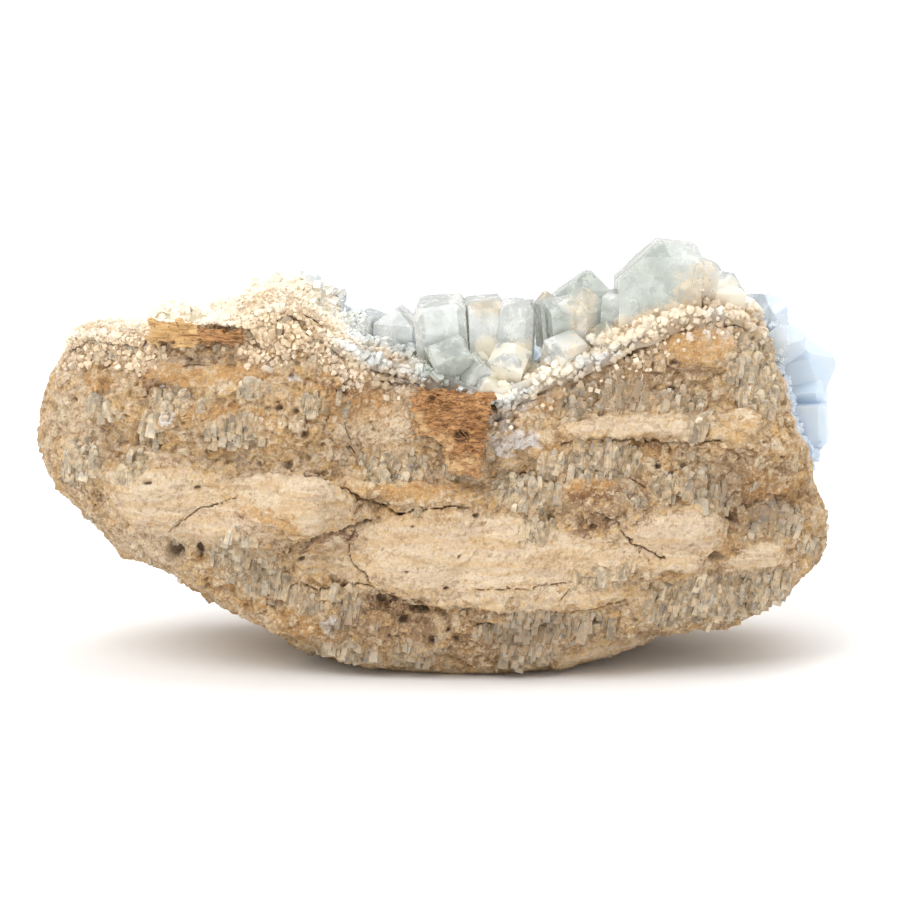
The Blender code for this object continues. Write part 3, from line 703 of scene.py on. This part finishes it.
def rock_stone():
    """Tan layered stone with cream plates, ochre and brown stains, grey crystal, and painted shade: near
    black in pits, pores and cracks, brown in recesses and on the keel.
    """
    g = Graph("layered_tan_rock")
    lumps, mottle = g.noise(6, 5, 0.6), g.noise(1.7, 6, 0.7)
    grain = g.noise(0.40, 5, 0.72)
    crumbs = g.noise(0.9, 6, 0.78, distortion=0.4)
    bedding = g.noise(1.0, 7, 0.72, stretch=(0.2, 0.2, 1.0), distortion=0.8)
    patchy = g.calc("ADD", g.times(mottle, 0.5), g.times(crumbs, 0.5))
    colour = g.painted(
        TAN,
        (lumps, 0.38, 0.62, 1, TAN_LIGHT),
        (crumbs, 0.44, 0.58, 0.8, BUFF),
        (mottle, 0.50, 0.62, 0.7, TAN_DEEP),
        (bedding, 0.50, 0.60, 0.5, ROSE),
    )
    for size, share in ((2.8, 0.8), (1.2, 0.6)):
        pale_bit, yellow_bit, brown_bit = g.cells(size, (1.0, 1.0, 1.5), size * 0.8)
        colour = g.painted(
            colour,
            (pale_bit, 0.6, 0.9, share, CREAM),
            (yellow_bit, 0.6, 0.9, share, STAIN),
            (brown_bit, 0.66, 0.95, share, UMBER),
        )
    # Broad brown tone, and painted shade on the keel, in recesses and under the knob.
    colour = g.mix(g.times(g.broken(g.stored("brown_and_shade"), patchy, 2.6), 0.8), colour, UMBER)
    pale_layer, yellow_layer, brown_layer = g.cells(1.0, (0.14, 0.14, 1.0), 0.7)
    cream = g.painted(
        CREAM,
        (bedding, 0.46, 0.58, 0.5, BUFF),
        (pale_layer, 0.5, 0.9, 0.5, ROSE),
        (yellow_layer, 0.66, 0.9, 0.5, STAIN),
        (brown_layer, 0.8, 0.96, 0.4, TAN_DEEP),
        (crumbs, 0.50, 0.60, 0.6, ROSE),
        (mottle, 0.54, 0.64, 0.5, TAN_DEEP),
    )
    colour = g.mix(g.broken(g.stored("pale"), patchy, 2.0), colour, cream)
    # Ochre and rust stains; the rust patches also paint shade in the gap under the block, in recesses and
    # under the ledge.
    for name, least, paint in (("ochre", 0.35, OCHRE_COLOUR), ("rust_and_shade", 0.3, RUST_AND_SHADE_COLOUR)):
        stain = g.times(g.broken(g.stored(name), patchy, 2.4), g.between(crumbs, 0.42, 0.56, least, 0.9))
        colour = g.mix(stain, colour, paint)
    vein = g.noise(0.9, 5, 0.65, stretch=(1.0, 1.0, 0.35))
    grey = g.painted(
        GREY_CRYSTAL,
        (vein, 0.42, 0.56, 1, GREY_LIGHT),
        (g.stored("grain"), 0.6, 0.95, 0.6, GREY_DEEP),
        (crumbs, 0.47, 0.57, 0.8, TAN),
    )
    in_crystal = g.broken(g.stored("crystal"), patchy, 1.6)
    colour = g.mix(g.times(in_crystal, 0.8), colour, grey)
    colour = g.mix(g.times(g.broken(g.stored("white"), patchy, 2.0), 0.85), colour, CHALK)
    speck = g.between(g.noise(0.55, 4, 0.65, stretch=(0.6, 0.6, 1.0)), 0.58, 0.66)
    rough_share = g.between(g.stored("plate"), 0.3, 0.9, 0.5, 0.2)
    colour = g.mix(g.times(speck, rough_share), colour, SPECK_COLOUR)
    colour = g.mix(g.times(g.between(grain, 0.50, 0.62), rough_share), colour, TAN_DEEP)
    colour = g.painted(colour, (grain, 0.48, 0.38, 0.45, CREAM))
    colour = g.mix(g.times(g.stored("seam"), 0.35), colour, UMBER)
    # Painted shade inside pits, pores and cracks.
    colour = g.painted(
        colour,
        (g.stored("dark"), 0.2, 0.9, 0.7, HOLLOW_SHADE_AND_SPECK),
        (g.stored("crack"), 0.25, 0.9, 0.75, CRACK_SHADE),
    )
    height = g.calc("ADD", g.calc("ADD", grain, crumbs), g.times(bedding, 0.8))
    normal = g.bump(height, 0.36, 1.0, under=g.bump(g.noise(0.16, 3, 0.7), 0.08, 0.8))
    return g.surface(
        Base_Color=colour,
        Roughness=g.blend(in_crystal, 0.9, 0.32),
        Specular_IOR_Level=0.35,
        Normal=normal,
    )


# The crust of crystals

CLEAR_GREEN = (0.84, 0.87, 0.84)
SKY = (0.71, 0.83, 0.99)
SEA = (0.64, 0.68, 0.62)
MILKY = (0.90, 0.90, 0.87)
RIM_TAN = (0.52, 0.35, 0.19)
RIM_CREAM = (0.84, 0.68, 0.46)
IVORY = (0.98, 0.90, 0.75)
HONEY = (0.86, 0.72, 0.52)
TINT = (0.90, 0.95, 0.95)
# From this X to this one the crystals turn sky blue.
BLUE_END = (53 * MM, 62 * MM)
# Over these Y the hollow gives way to the front rim, and over these X the crust turns to the left one.
FRONT_START, LEFT_START = (-6, -16), (-4, -20)
# Where the crust is chalky, honey-stained or sea-green: U, V, half width, half height, turn.
CRUST_IVORY = {
    "left_rim": (180, 322, 170, 46, 4),
    "hump": (290, 310, 60, 40, -20),
    "under_mass": (545, 372, 34, 12, 10),
    "mass_patch": (486, 352, 12, 14, 30),
    "mass_low": (495, 385, 20, 14, 30),
    "right_rim": (740, 296, 34, 22, -8),
    "tall_foot": (650, 322, 60, 12, 20),
    "gap": (520, 350, 20, 8, 0),
}
CRUST_HONEY = {
    "tan_facet": (582, 312, 16, 20, 0),
    "bead": (545, 293, 10, 9, 0),
    "green_block": (484, 308, 16, 12, 0),
    "tall_side": (694, 286, 16, 26, -20),
    "tall_foot": (668, 322, 44, 9, 20),
    "right_rim": (748, 318, 30, 14, -8),
    "left_rim": (220, 338, 110, 12, 6),
    "shelf_foot": (600, 346, 40, 8, 8),
    "shelf_top": (640, 330, 80, 20, 16),
    "hump_front": (268, 330, 42, 20, 10),
}
CRUST_SEA = {
    "tall": (652, 282, 42, 38, 0),
    "peak": (588, 286, 34, 16, 0),
    "peak_side": (602, 318, 16, 22, 0),
    "pillar": (560, 322, 16, 20, 0),
    "mass": (452, 362, 34, 24, 0),
}


def crystal_glass(name, clear, tint_density, glow):
    """Translucent celestite: clear at the tips, milky towards the rock, blue at the right end."""
    g = Graph(name)
    clouds = g.noise(5.0, 4, 0.5, distortion=0.8)
    veils = g.noise(1.6, 5, 0.65, distortion=0.6)
    fine = g.noise(0.7, 5, 0.65)
    right_end = g.between(g.across(), *BLUE_END)
    blue = g.calc("MAXIMUM", right_end, g.times(g.stored("hollow"), 0.65))
    colour = g.painted(CLEAR_GREEN, (clouds, 0.45, 0.6, 0.8, MILKY))
    colour = g.mix(g.stored("sea"), colour, SEA)
    colour = g.mix(g.between(clouds, 0.4, 0.6, blue, g.times(blue, 0.8)), colour, SKY)
    veiled = g.times(g.calc("SUBTRACT", veils, 0.5), 1.2)
    ivory = g.between(g.calc("ADD", g.stored("ivory"), veiled), 0.2, 0.9)
    foot = g.stored("foot")
    colour = g.mix(ivory, colour, IVORY)
    honey = g.broken(g.stored("honey"), veils, 0.8)
    colour = g.mix(g.times(honey, g.between(blue, 1, 0, 0, 0.75)), colour, HONEY)
    tan_foot = g.times(foot, g.between(blue, 1, 0, 0.2, 0.8))
    colour = g.mix(tan_foot, colour, g.painted(RIM_TAN, (g.stored("grain"), 0.2, 0.9, 1, RIM_CREAM)))
    colour = g.painted(colour, (fine, 0.70, 0.76, 0.7, SPECK_COLOUR))
    milk = g.calc("ADD", g.between(clouds, 0.42, 0.6, 0, 0.5), g.between(veils, 0.5, 0.62, 0, 0.4))
    milk = g.calc("MAXIMUM", milk, g.times(right_end, 0.9))
    milk = g.calc("MAXIMUM", milk, g.calc("MAXIMUM", g.times(ivory, 0.9), foot))
    normal = g.bump(g.noise(1.1, 6, 0.62, stretch=(1, 1, 0.5)), 0.07, 0.6, under=g.bump(fine, 0.03, 0.5))
    material = g.surface(
        Base_Color=colour,
        Roughness=g.blend(milk, 0.12, 0.45),
        Transmission_Weight=g.blend(milk, clear, clear * 0.25),
        IOR=1.62,
        Subsurface_Weight=glow,
        Subsurface_Radius=(1.0, 0.95, 0.85),
        Subsurface_Scale=2.0 * MM,
        Normal=normal,
    )
    if not tint_density:
        return material
    absorption = g.node("ShaderNodeVolumeAbsorption")
    absorption.inputs["Color"].default_value = (*TINT, 1)
    absorption.inputs["Density"].default_value = tint_density
    output = next(n for n in g.tree.nodes if n.type == "OUTPUT_MATERIAL")
    g.tree.links.new(absorption.outputs[0], output.inputs["Volume"])
    return material


def tint_crust(mesh):
    """Stores where the crust is chalky or stained, and how close it is to the rock."""
    points = corners(mesh)
    u, v = sight(points)
    near_rock = tree_of("matrix_rock")
    gaps = np.array([near_rock.find_nearest(Vector(p * MM))[3] / MM for p in points])
    u, v = u + 8 * rough(points, (4, 4, 4), 2, 301), v + 6 * rough(points, (4, 4, 4), 2, 311)
    near_front = eased(*FRONT_START, points[:, 1])
    left = eased(*LEFT_START, points[:, 0] + 4 * rough(points, (6, 6, 6), 2, 331))
    keep(mesh, "ivory", patches(u, v, CRUST_IVORY.values(), 0.4) * np.maximum(near_front, left))
    keep(mesh, "honey", patches(u, v, CRUST_HONEY.values(), 0.5) * near_front)
    keep(mesh, "sea", patches(u, v, CRUST_SEA.values(), 0.4) * near_front)
    keep(mesh, "hollow", (1 - near_front) * (1 - 0.6 * left))
    keep(mesh, "foot", eased(3.0, 0.6, gaps + 0.8 * rough(points, (2.4, 2.4, 2.4), 2, 321)))


def crust_mesh():
    """The crust's large crystals, with faces small enough to hold their tints."""
    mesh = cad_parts["celestite_crust"].data.copy()
    mesh.materials.clear()
    bm = bmesh.new()
    bm.from_mesh(mesh)
    bmesh.ops.remove_doubles(bm, verts=bm.verts, dist=0.02 * MM)
    for length in (5, 2.5):
        long_edges = [e for e in bm.edges if e.calc_length() > length * MM]
        bmesh.ops.subdivide_edges(bm, edges=long_edges, cuts=1)
        bmesh.ops.triangulate(bm, faces=[f for f in bm.faces if len(f.verts) > 3])
    bmesh.ops.recalc_face_normals(bm, faces=bm.faces)
    return finished(bm, mesh)


def cut_off(bm, point, away):
    """Cuts away what lies past this plane and closes the cut."""
    everything = bm.verts[:] + bm.edges[:] + bm.faces[:]
    bmesh.ops.bisect_plane(bm, geom=everything, plane_co=point, plane_no=away, clear_outer=True)
    bmesh.ops.holes_fill(bm, edges=[e for e in bm.edges if e.is_boundary])


def small_crystal(rng, steepest):
    """A crystal 1 unit wide and 1.7 long, its middle at the origin, with a sloping tip."""
    bm = bmesh.new()
    bmesh.ops.create_cube(bm, size=1)
    bmesh.ops.scale(bm, vec=(1, rng.uniform(0.6, 1), 1.7), verts=bm.verts)
    for across in (Vector((1, 0, 0)), Vector((0, 1, 0))):
        slope = math.radians(rng.uniform(30, steepest))
        for side in (-1, 1):
            away = across * side * math.sin(slope) + Vector((0, 0, math.cos(slope)))
            cut_off(bm, across * side * rng.uniform(0.05, 0.34) + Vector((0, 0, 0.85)), away)
    return finished(bm, bpy.data.meshes.new("small_crystal"))


def gathered(name, stands):
    """One mesh of many small crystals. Each stand is (shape, place), and its number is kept as grain."""
    whole, numbers = bmesh.new(), []
    for order, (shape, place) in enumerate(stands):
        one = shape.copy()
        one.transform(place)
        whole.from_mesh(one)
        numbers += [(order * 0.61803) % 1] * len(one.vertices)
        bpy.data.meshes.remove(one)
    mesh = finished(whole, bpy.data.meshes.new(name))
    keep(mesh, "grain", numbers)
    return mesh


def swayed(rng, direction, sway):
    """A turn that points a crystal this way, give or take."""
    loose = Vector((rng.uniform(-1, 1), rng.uniform(-1, 1), rng.uniform(-1, 1))) * sway
    turn = (direction + loose).normalized().to_track_quat("Z", "Y")
    return turn @ Euler((0, 0, rng.uniform(0, 6.28))).to_quaternion()


SUGAR_TRIES, DRUSE_TRIES = 15000, 9000
DRUSE_DEPTH, EDGE_DEPTH = 3.3, 1.8
SEAT_GAP = 0.4
RIM_TRIES, RIM_ROOM = 14000, 0.6


def crust_seats(rng, tries, sugar):
    """Places on the crust: the place, the way out, how far the stone below faces that way, and its gap."""
    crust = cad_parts["celestite_crust"].data
    near_rock = tree_of("matrix_rock")
    x, y, _ = read_each(crust.polygons, "center", 3).T
    forward = read_each(crust.polygons, "normal", 3)[:, 1] < -0.3
    areas = read_each(crust.polygons, "area") * np.where(forward, 2.5, 1.0)
    here = x < SUGAR_SIDE + 2 * MM if sugar else x > SUGAR_SIDE - 2 * MM
    areas *= np.where(y > HOLLOW_SIDE, 0.3, 1.0) * here
    picks = np.searchsorted(np.cumsum(areas) / areas.sum(), [rng.random() for _ in range(tries)])
    for pick in picks:
        polygon = crust.polygons[int(pick)]
        spots = [crust.vertices[i].co for i in polygon.vertices[:3]]
        a, b = rng.random(), rng.random()
        if a + b > 1:
            a, b = 1 - a, 1 - b
        seat = spots[0] + (spots[1] - spots[0]) * a + (spots[2] - spots[0]) * b
        _, stone_up, _, gap = near_rock.find_nearest(seat)
        if (seat.x < SUGAR_SIDE) == sugar and gap > SEAT_GAP * MM:
            yield seat, polygon.normal, polygon.normal.dot(stone_up), gap / MM


def stand(rng, shapes, seat, direction, sway, size):
    """One of the shapes and its place: this size, pointing this way, give or take."""
    turn = swayed(rng, direction, sway).to_matrix().to_4x4()
    return shapes[rng.randrange(len(shapes))], Matrix.Translation(seat) @ turn @ Matrix.Scale(size * MM, 4)


def druse_mesh():
    """Small crystals on the massive celestite between the large ones."""
    rng = random.Random(SEED)
    shapes = [small_crystal(rng, 62) for _ in range(12)]
    stands = []
    for seat, out, lean, gap in crust_seats(rng, DRUSE_TRIES, False):
        if gap < DRUSE_DEPTH and (lean > 0.2 or (out.y < -0.3 and gap < EDGE_DEPTH)):
            size = rng.uniform(0.5, 1.3) * (1.8 if seat.y > HOLLOW_SIDE else 1)
            stands.append(stand(rng, shapes, seat, out, 0.6, size))
    return gathered("druse", stands)


def sugar_mesh(rock):
    """The sugary druse over the left rim, and fine grains on the stone's front where the crust ends."""
    rng = random.Random(SEED + 3)
    shapes = []
    for _ in range(6):
        bm = bmesh.new()
        bmesh.ops.create_cube(bm, size=1)
        bmesh.ops.scale(bm, vec=(1, rng.uniform(0.6, 1), rng.uniform(0.8, 1.5)), verts=bm.verts)
        shapes.append(finished(bm, bpy.data.meshes.new("sugar_grain")))
    stands = []
    for seat, out, _, _ in crust_seats(rng, SUGAR_TRIES, True):
        size = rng.uniform(0.3, 0.7) * (2 if seat.y > HOLLOW_SIDE else 1)
        stands.append(stand(rng, shapes, seat, out, 0.9, size))
    points, normals, rim = corners(rock), outward(rock), kept(rock, "rim")
    taken = set()
    rim_points = list(np.flatnonzero(rim > 0.1))
    for n in rng.sample(rim_points, k=min(RIM_TRIES, len(rim_points))):
        cell = tuple(np.floor(points[n] / RIM_ROOM).astype(int))
        share = (0.8 if points[n][0] < SUGAR_SIDE / MM else 0.12) * rim[n] ** 2
        if cell not in taken and rng.random() < share:
            taken.add(cell)
            out = Vector(normals[n]) + Vector((0, 0, 0.5))
            stands.append(stand(rng, shapes, Vector(points[n] * MM), out, 0.8, rng.uniform(0.3, 0.9)))
    return gathered("sugar", stands)


# Grey crystals that stand in the rock's bands

VEIN_TRIES = 60000
VEIN_ROOM, VEIN_LOWEST = 0.8, 1.5
VEIN_SHARE, LOOSE_SHARE = 0.75, 0.03
# A vein crystal stands only where the stone faces this much forward or back, and not this far down.
LEAST_FORWARD, MOST_DOWN = 0.45, -0.62


def vein_mesh(rock):
    """Small upright crystals in the grey bands and pockets of the front face."""
    rng = random.Random(SEED + 1)
    points, normals = corners(rock), outward(rock)
    band, loose = kept(rock, "band"), kept(rock, "crystal")
    shapes = [small_crystal(rng, 60) for _ in range(10)]
    stands, taken = [], set()
    for _ in range(VEIN_TRIES):
        n = rng.randrange(len(points))
        cell = tuple(np.floor(points[n] / VEIN_ROOM).astype(int))
        shown = rng.random() < (VEIN_SHARE if band[n] > 0.6 else LOOSE_SHARE * (loose[n] > 0.6))
        turned = abs(normals[n][1]) < LEAST_FORWARD or normals[n][2] < MOST_DOWN
        if not shown or turned or points[n][2] < VEIN_LOWEST or cell in taken:
            continue
        taken.add(cell)
        width = rng.uniform(0.6, 1.7)
        seat = Vector((points[n] - normals[n] * width * rng.uniform(0.38, 0.56)) * MM)
        up = Vector((0.12, 0, 1)) + Vector(normals[n]) * rng.uniform(-0.1, 0.35)
        turn = swayed(rng, up, 0.22)
        size = Matrix.Diagonal((width * MM, width * MM, width * rng.uniform(0.9, 1.6) * MM, 1))
        place = Matrix.Translation(seat) @ turn.to_matrix().to_4x4() @ size
        stands.append((shapes[rng.randrange(len(shapes))], place))
    mesh = gathered("vein_crystals", stands)
    # The stone's brown tone and painted shade, for the crystals standing in it.
    keep(mesh, "brown_and_shade", patches(*sight(corners(mesh)), BROWN_AND_SHADE_PATCHES.values(), 0.8))
    return mesh


def vein_glass():
    """Grey to brownish translucent crystal of the bands in the rock, with the stone's brown tone and
    painted shade over it.
    """
    g = Graph("grey_vein_crystal")
    number = g.stored("grain")
    clouds, fine = g.noise(1.2, 5, 0.6), g.noise(0.5, 5, 0.7)
    colour = g.painted(
        GREY_CRYSTAL,
        (number, 0.1, 0.9, 1, GREY_LIGHT),
        (g.calc("FRACT", g.times(number, 7.3)), 0.6, 0.95, 0.7, GREY_DEEP),
        (clouds, 0.46, 0.56, 0.4, BUFF),
        (fine, 0.56, 0.64, 0.35, TAN_DEEP),
    )
    # Brown tone and painted shade, where the stone has them.
    brown_and_shade_share = g.times(g.stored("brown_and_shade"), g.between(clouds, 0.4, 0.6, 0.2, 0.8))
    colour = g.mix(brown_and_shade_share, colour, UMBER)
    return g.surface(
        Base_Color=colour,
        Roughness=g.blend(clouds, 0.05, 0.4),
        Transmission_Weight=g.between(clouds, 0.62, 0.4, 0.15, 0.5),
        IOR=1.62,
        Normal=g.bump(clouds, 0.20, 0.6),
    )


# The two bits of bark

BARK_LIGHT = (0.58, 0.29, 0.11)
BARK_DEEP = (0.13, 0.045, 0.015)
BARK_STRAW = (0.74, 0.49, 0.22)
# Hollows in the bark, sunk and painted dark as shade, the flake's shadow among them: U, V, half width, half
# height, depth.
BARK_HOLLOWS = {
    "curl": (462, 437, 9, 8, 1.3),
    "top_notch": (432, 398, 4, 3, 0.8),
    "flake_shadow": (166, 343, 12, 2, 0.6),
    "flake_end": (199, 325, 2, 8, 0.6),
}
# Where the bark is worn down to the stone's colour: U, V, half width, half height, turn.
BARK_WORN = {
    "low_left": (436, 452, 14, 20, 0),
    "tail": (462, 464, 22, 10, 0),
    "left": (420, 425, 6, 14, 0),
}


def fibrous(name, along, straw_side):
    """Dry fibrous wood with its fibres along one axis, straw-coloured on one side of an X, with painted
    shade in its hollows.
    """
    g = Graph(name)
    fibres = g.noise(0.45, 6, 0.75, stretch=along, distortion=0.6)
    broad = g.noise(2.2, 5, 0.6)
    colour = g.painted(BARK_DEEP, (fibres, 0.40, 0.56, 1, BARK_LIGHT))
    straw = g.between(g.across(), (straw_side + 0.4) * MM, (straw_side - 0.4) * MM, 0.12, 0.95)
    colour = g.mix(g.times(straw, g.between(broad, 0.40, 0.55, 0.5, 1)), colour, BARK_STRAW)
    colour = g.mix(g.times(g.stored("worn"), g.between(broad, 0.4, 0.6, 0.5, 0.9)), colour, TAN)
    # Dark specks in the wood, and painted shade in the hollows and under the flake.
    specks, hollows = g.noise(0.7, 4), g.stored("dark")
    colour = g.painted(colour, (specks, 0.58, 0.66, 0.7, HOLLOW_SHADE_AND_SPECK), (hollows, 0.2, 0.9, 0.8, HOLLOW_SHADE_AND_SPECK))
    return g.surface(Base_Color=colour, Roughness=0.8, Normal=g.bump(fibres, 0.3, 1.0))


def bark_mesh(node, size, lift):
    """A bit of bark with a ragged outline, ridges of this size along its fibres, and its hollows, marked
    for painted shade.
    """
    bm, mesh = even_mesh(node, BARK_GRID)
    bmesh.ops.recalc_face_normals(bm, faces=bm.faces)
    finished(bm, mesh)
    points, normals = corners(mesh), outward(mesh)
    points[:, 2] += lift * (0.6 + 0.4 * eased(36, 46, points[:, 2]))
    u, v = sight(points)
    ridges = chips(points, size, 0.34, 0.7, 201) + 0.3 * rough(points, np.array(size) * 0.5, 3, 211)
    outside = eased(0.3, -0.2, normals[:, 1])
    edge = 1 - np.abs(normals[:, 1])
    ragged = 1.1 * waves(points, (1.6, 9, 1.0), 221) + 0.5 * waves(points, (0.7, 9, 0.5), 231) - 0.3
    dark = np.zeros(len(points))
    for hu, hv, half_u, half_v, depth in BARK_HOLLOWS.values():
        inside = 1 - eased(0.5, 1.2, reach(u, v, hu, hv, half_u, half_v, power=2.0))
        ridges -= depth * inside
        dark = np.maximum(dark, inside)
    move_corners(mesh, points + normals * (ridges * outside + edge * ragged)[:, None])
    keep(mesh, "dark", dark)
    keep(mesh, "worn", patches(u + 6 * waves(points, (2, 2, 2), 241), v, BARK_WORN.values(), 0.5))
    return mesh


def strand_mesh(bark, count, lean, spread):
    """Loose fibres lying on a bit of bark, their lean from level in degrees."""
    rng = random.Random(SEED + 2)
    facing = [v for v in bark.vertices if v.normal.y < -0.5]
    whole = bmesh.new()
    for _ in range(count):
        at = rng.choice(facing)
        length, radius = rng.uniform(1.2, 4.2), rng.uniform(0.05, 0.14)
        made = bmesh.ops.create_cone(
            whole,
            cap_ends=True,
            segments=6,
            radius1=radius * MM,
            radius2=0.3 * radius * MM,
            depth=length * MM,
        )
        along = math.radians(lean + rng.uniform(-spread, spread))
        line = Vector((math.cos(along), rng.uniform(-0.14, 0.02), math.sin(along)))
        turn = line.to_track_quat("Z", "Y").to_matrix().to_4x4()
        seat = at.co + at.normal * radius * 0.4 * MM
        bmesh.ops.transform(whole, matrix=Matrix.Translation(seat) @ turn, verts=made["verts"])
    return finished(whole, bpy.data.meshes.new("strands"))


# Light, floor and camera

FLOOR_HALF = 14.0


def floor():
    """A plain pale floor, wide enough to fill the picture behind the piece."""
    bm = bmesh.new()
    bmesh.ops.create_grid(bm, x_segments=1, y_segments=1, size=FLOOR_HALF)
    mesh = finished(bm, bpy.data.meshes.new("floor"))
    thing = in_scene("floor", mesh)
    g = Graph("white_paper")
    mesh.materials.append(g.surface(Base_Color=(0.93, 0.93, 0.93), Roughness=0.9, Specular_IOR_Level=0.1))


def soft_light(name, place, spread, strength):
    """A broad, even light that shines from this side towards the origin."""
    data = bpy.data.lights.new(name, "SUN")
    data.angle = math.radians(spread)
    data.energy = strength
    thing = in_scene(name, data)
    thing.location = place
    thing.rotation_euler = (-Vector(place)).to_track_quat("-Z", "Y").to_euler()


def studio():
    """White surroundings and two soft lights."""
    floor()
    world = bpy.data.worlds.new("studio")
    world.use_nodes = True
    backdrop = world.node_tree.nodes["Background"]
    backdrop.inputs["Color"].default_value = (1, 1, 1, 1)
    backdrop.inputs["Strength"].default_value = 0.94
    bpy.context.scene.world = world
    soft_light("key", (-0.45, -0.6, 0.9), 40, 1.5)
    soft_light("top", (0.15, 0.25, 0.9), 50, 0.9)
    bpy.context.scene.view_settings.view_transform = "Standard"


def camera():
    """The photograph's view: straight on, a little from above, through a long lens."""
    data = bpy.data.cameras.new("camera")
    data.lens = LENS
    data.sensor_width = SENSOR
    thing = in_scene("camera", data)
    back = Vector((0, -math.cos(ELEVATION), math.sin(ELEVATION))) * DISTANCE
    thing.location = (Vector(AIM) + back) * MM
    thing.rotation_euler = (math.pi / 2 - ELEVATION, 0, 0)
    bpy.context.scene.camera = thing


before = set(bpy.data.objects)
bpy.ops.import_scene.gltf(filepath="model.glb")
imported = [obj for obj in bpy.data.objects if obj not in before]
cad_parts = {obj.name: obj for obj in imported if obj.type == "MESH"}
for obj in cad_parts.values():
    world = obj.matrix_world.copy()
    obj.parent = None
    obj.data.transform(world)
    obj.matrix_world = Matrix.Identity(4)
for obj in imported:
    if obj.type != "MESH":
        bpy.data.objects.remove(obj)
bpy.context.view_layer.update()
camera()
studio()

stone = rock_mesh()
dress_rock(stone)
place_piece("layered_rock", stone, rock_stone(), "matrix_rock")

for name, mesh, glass, node in (
    ("large_crystals", crust_mesh(), crystal_glass("large_celestite", 0.6, 12.0, 0.5), "celestite_crust"),
    ("small_crystals", druse_mesh(), crystal_glass("small_celestite", 0.35, 0.0, 0.0), None),
    ("sugar_druse", sugar_mesh(stone), crystal_glass("sugar_celestite", 0.12, 0.0, 0.0), None),
):
    tint_crust(mesh)
    place_piece(name, mesh, glass, node)
place_piece("vein_crystals", vein_mesh(stone), vein_glass(), None)

straw_wood = fibrous("straw_wood", (0.14, 1.0, 1.0), -38.4)
splinter = bark_mesh("wood_splinter", (6.0, 0.9, 0.7), 0.8)
splinter_strands = strand_mesh(splinter, 60, -4, 10)
place_piece("straw_splinter", splinter, straw_wood, "wood_splinter")
place_piece("splinter_fibres", splinter_strands, straw_wood, None)
red_bark = fibrous("red_brown_bark", (0.3, 1.0, 1.0), -60)
bark = bark_mesh("bark_fragment", (2.4, 0.8, 0.8), 2.4)
bark_strands = strand_mesh(bark, 130, -16, 38)
place_piece("fibrous_bark", bark, red_bark, "bark_fragment")
place_piece("bark_fibres", bark_strands, red_bark, None)
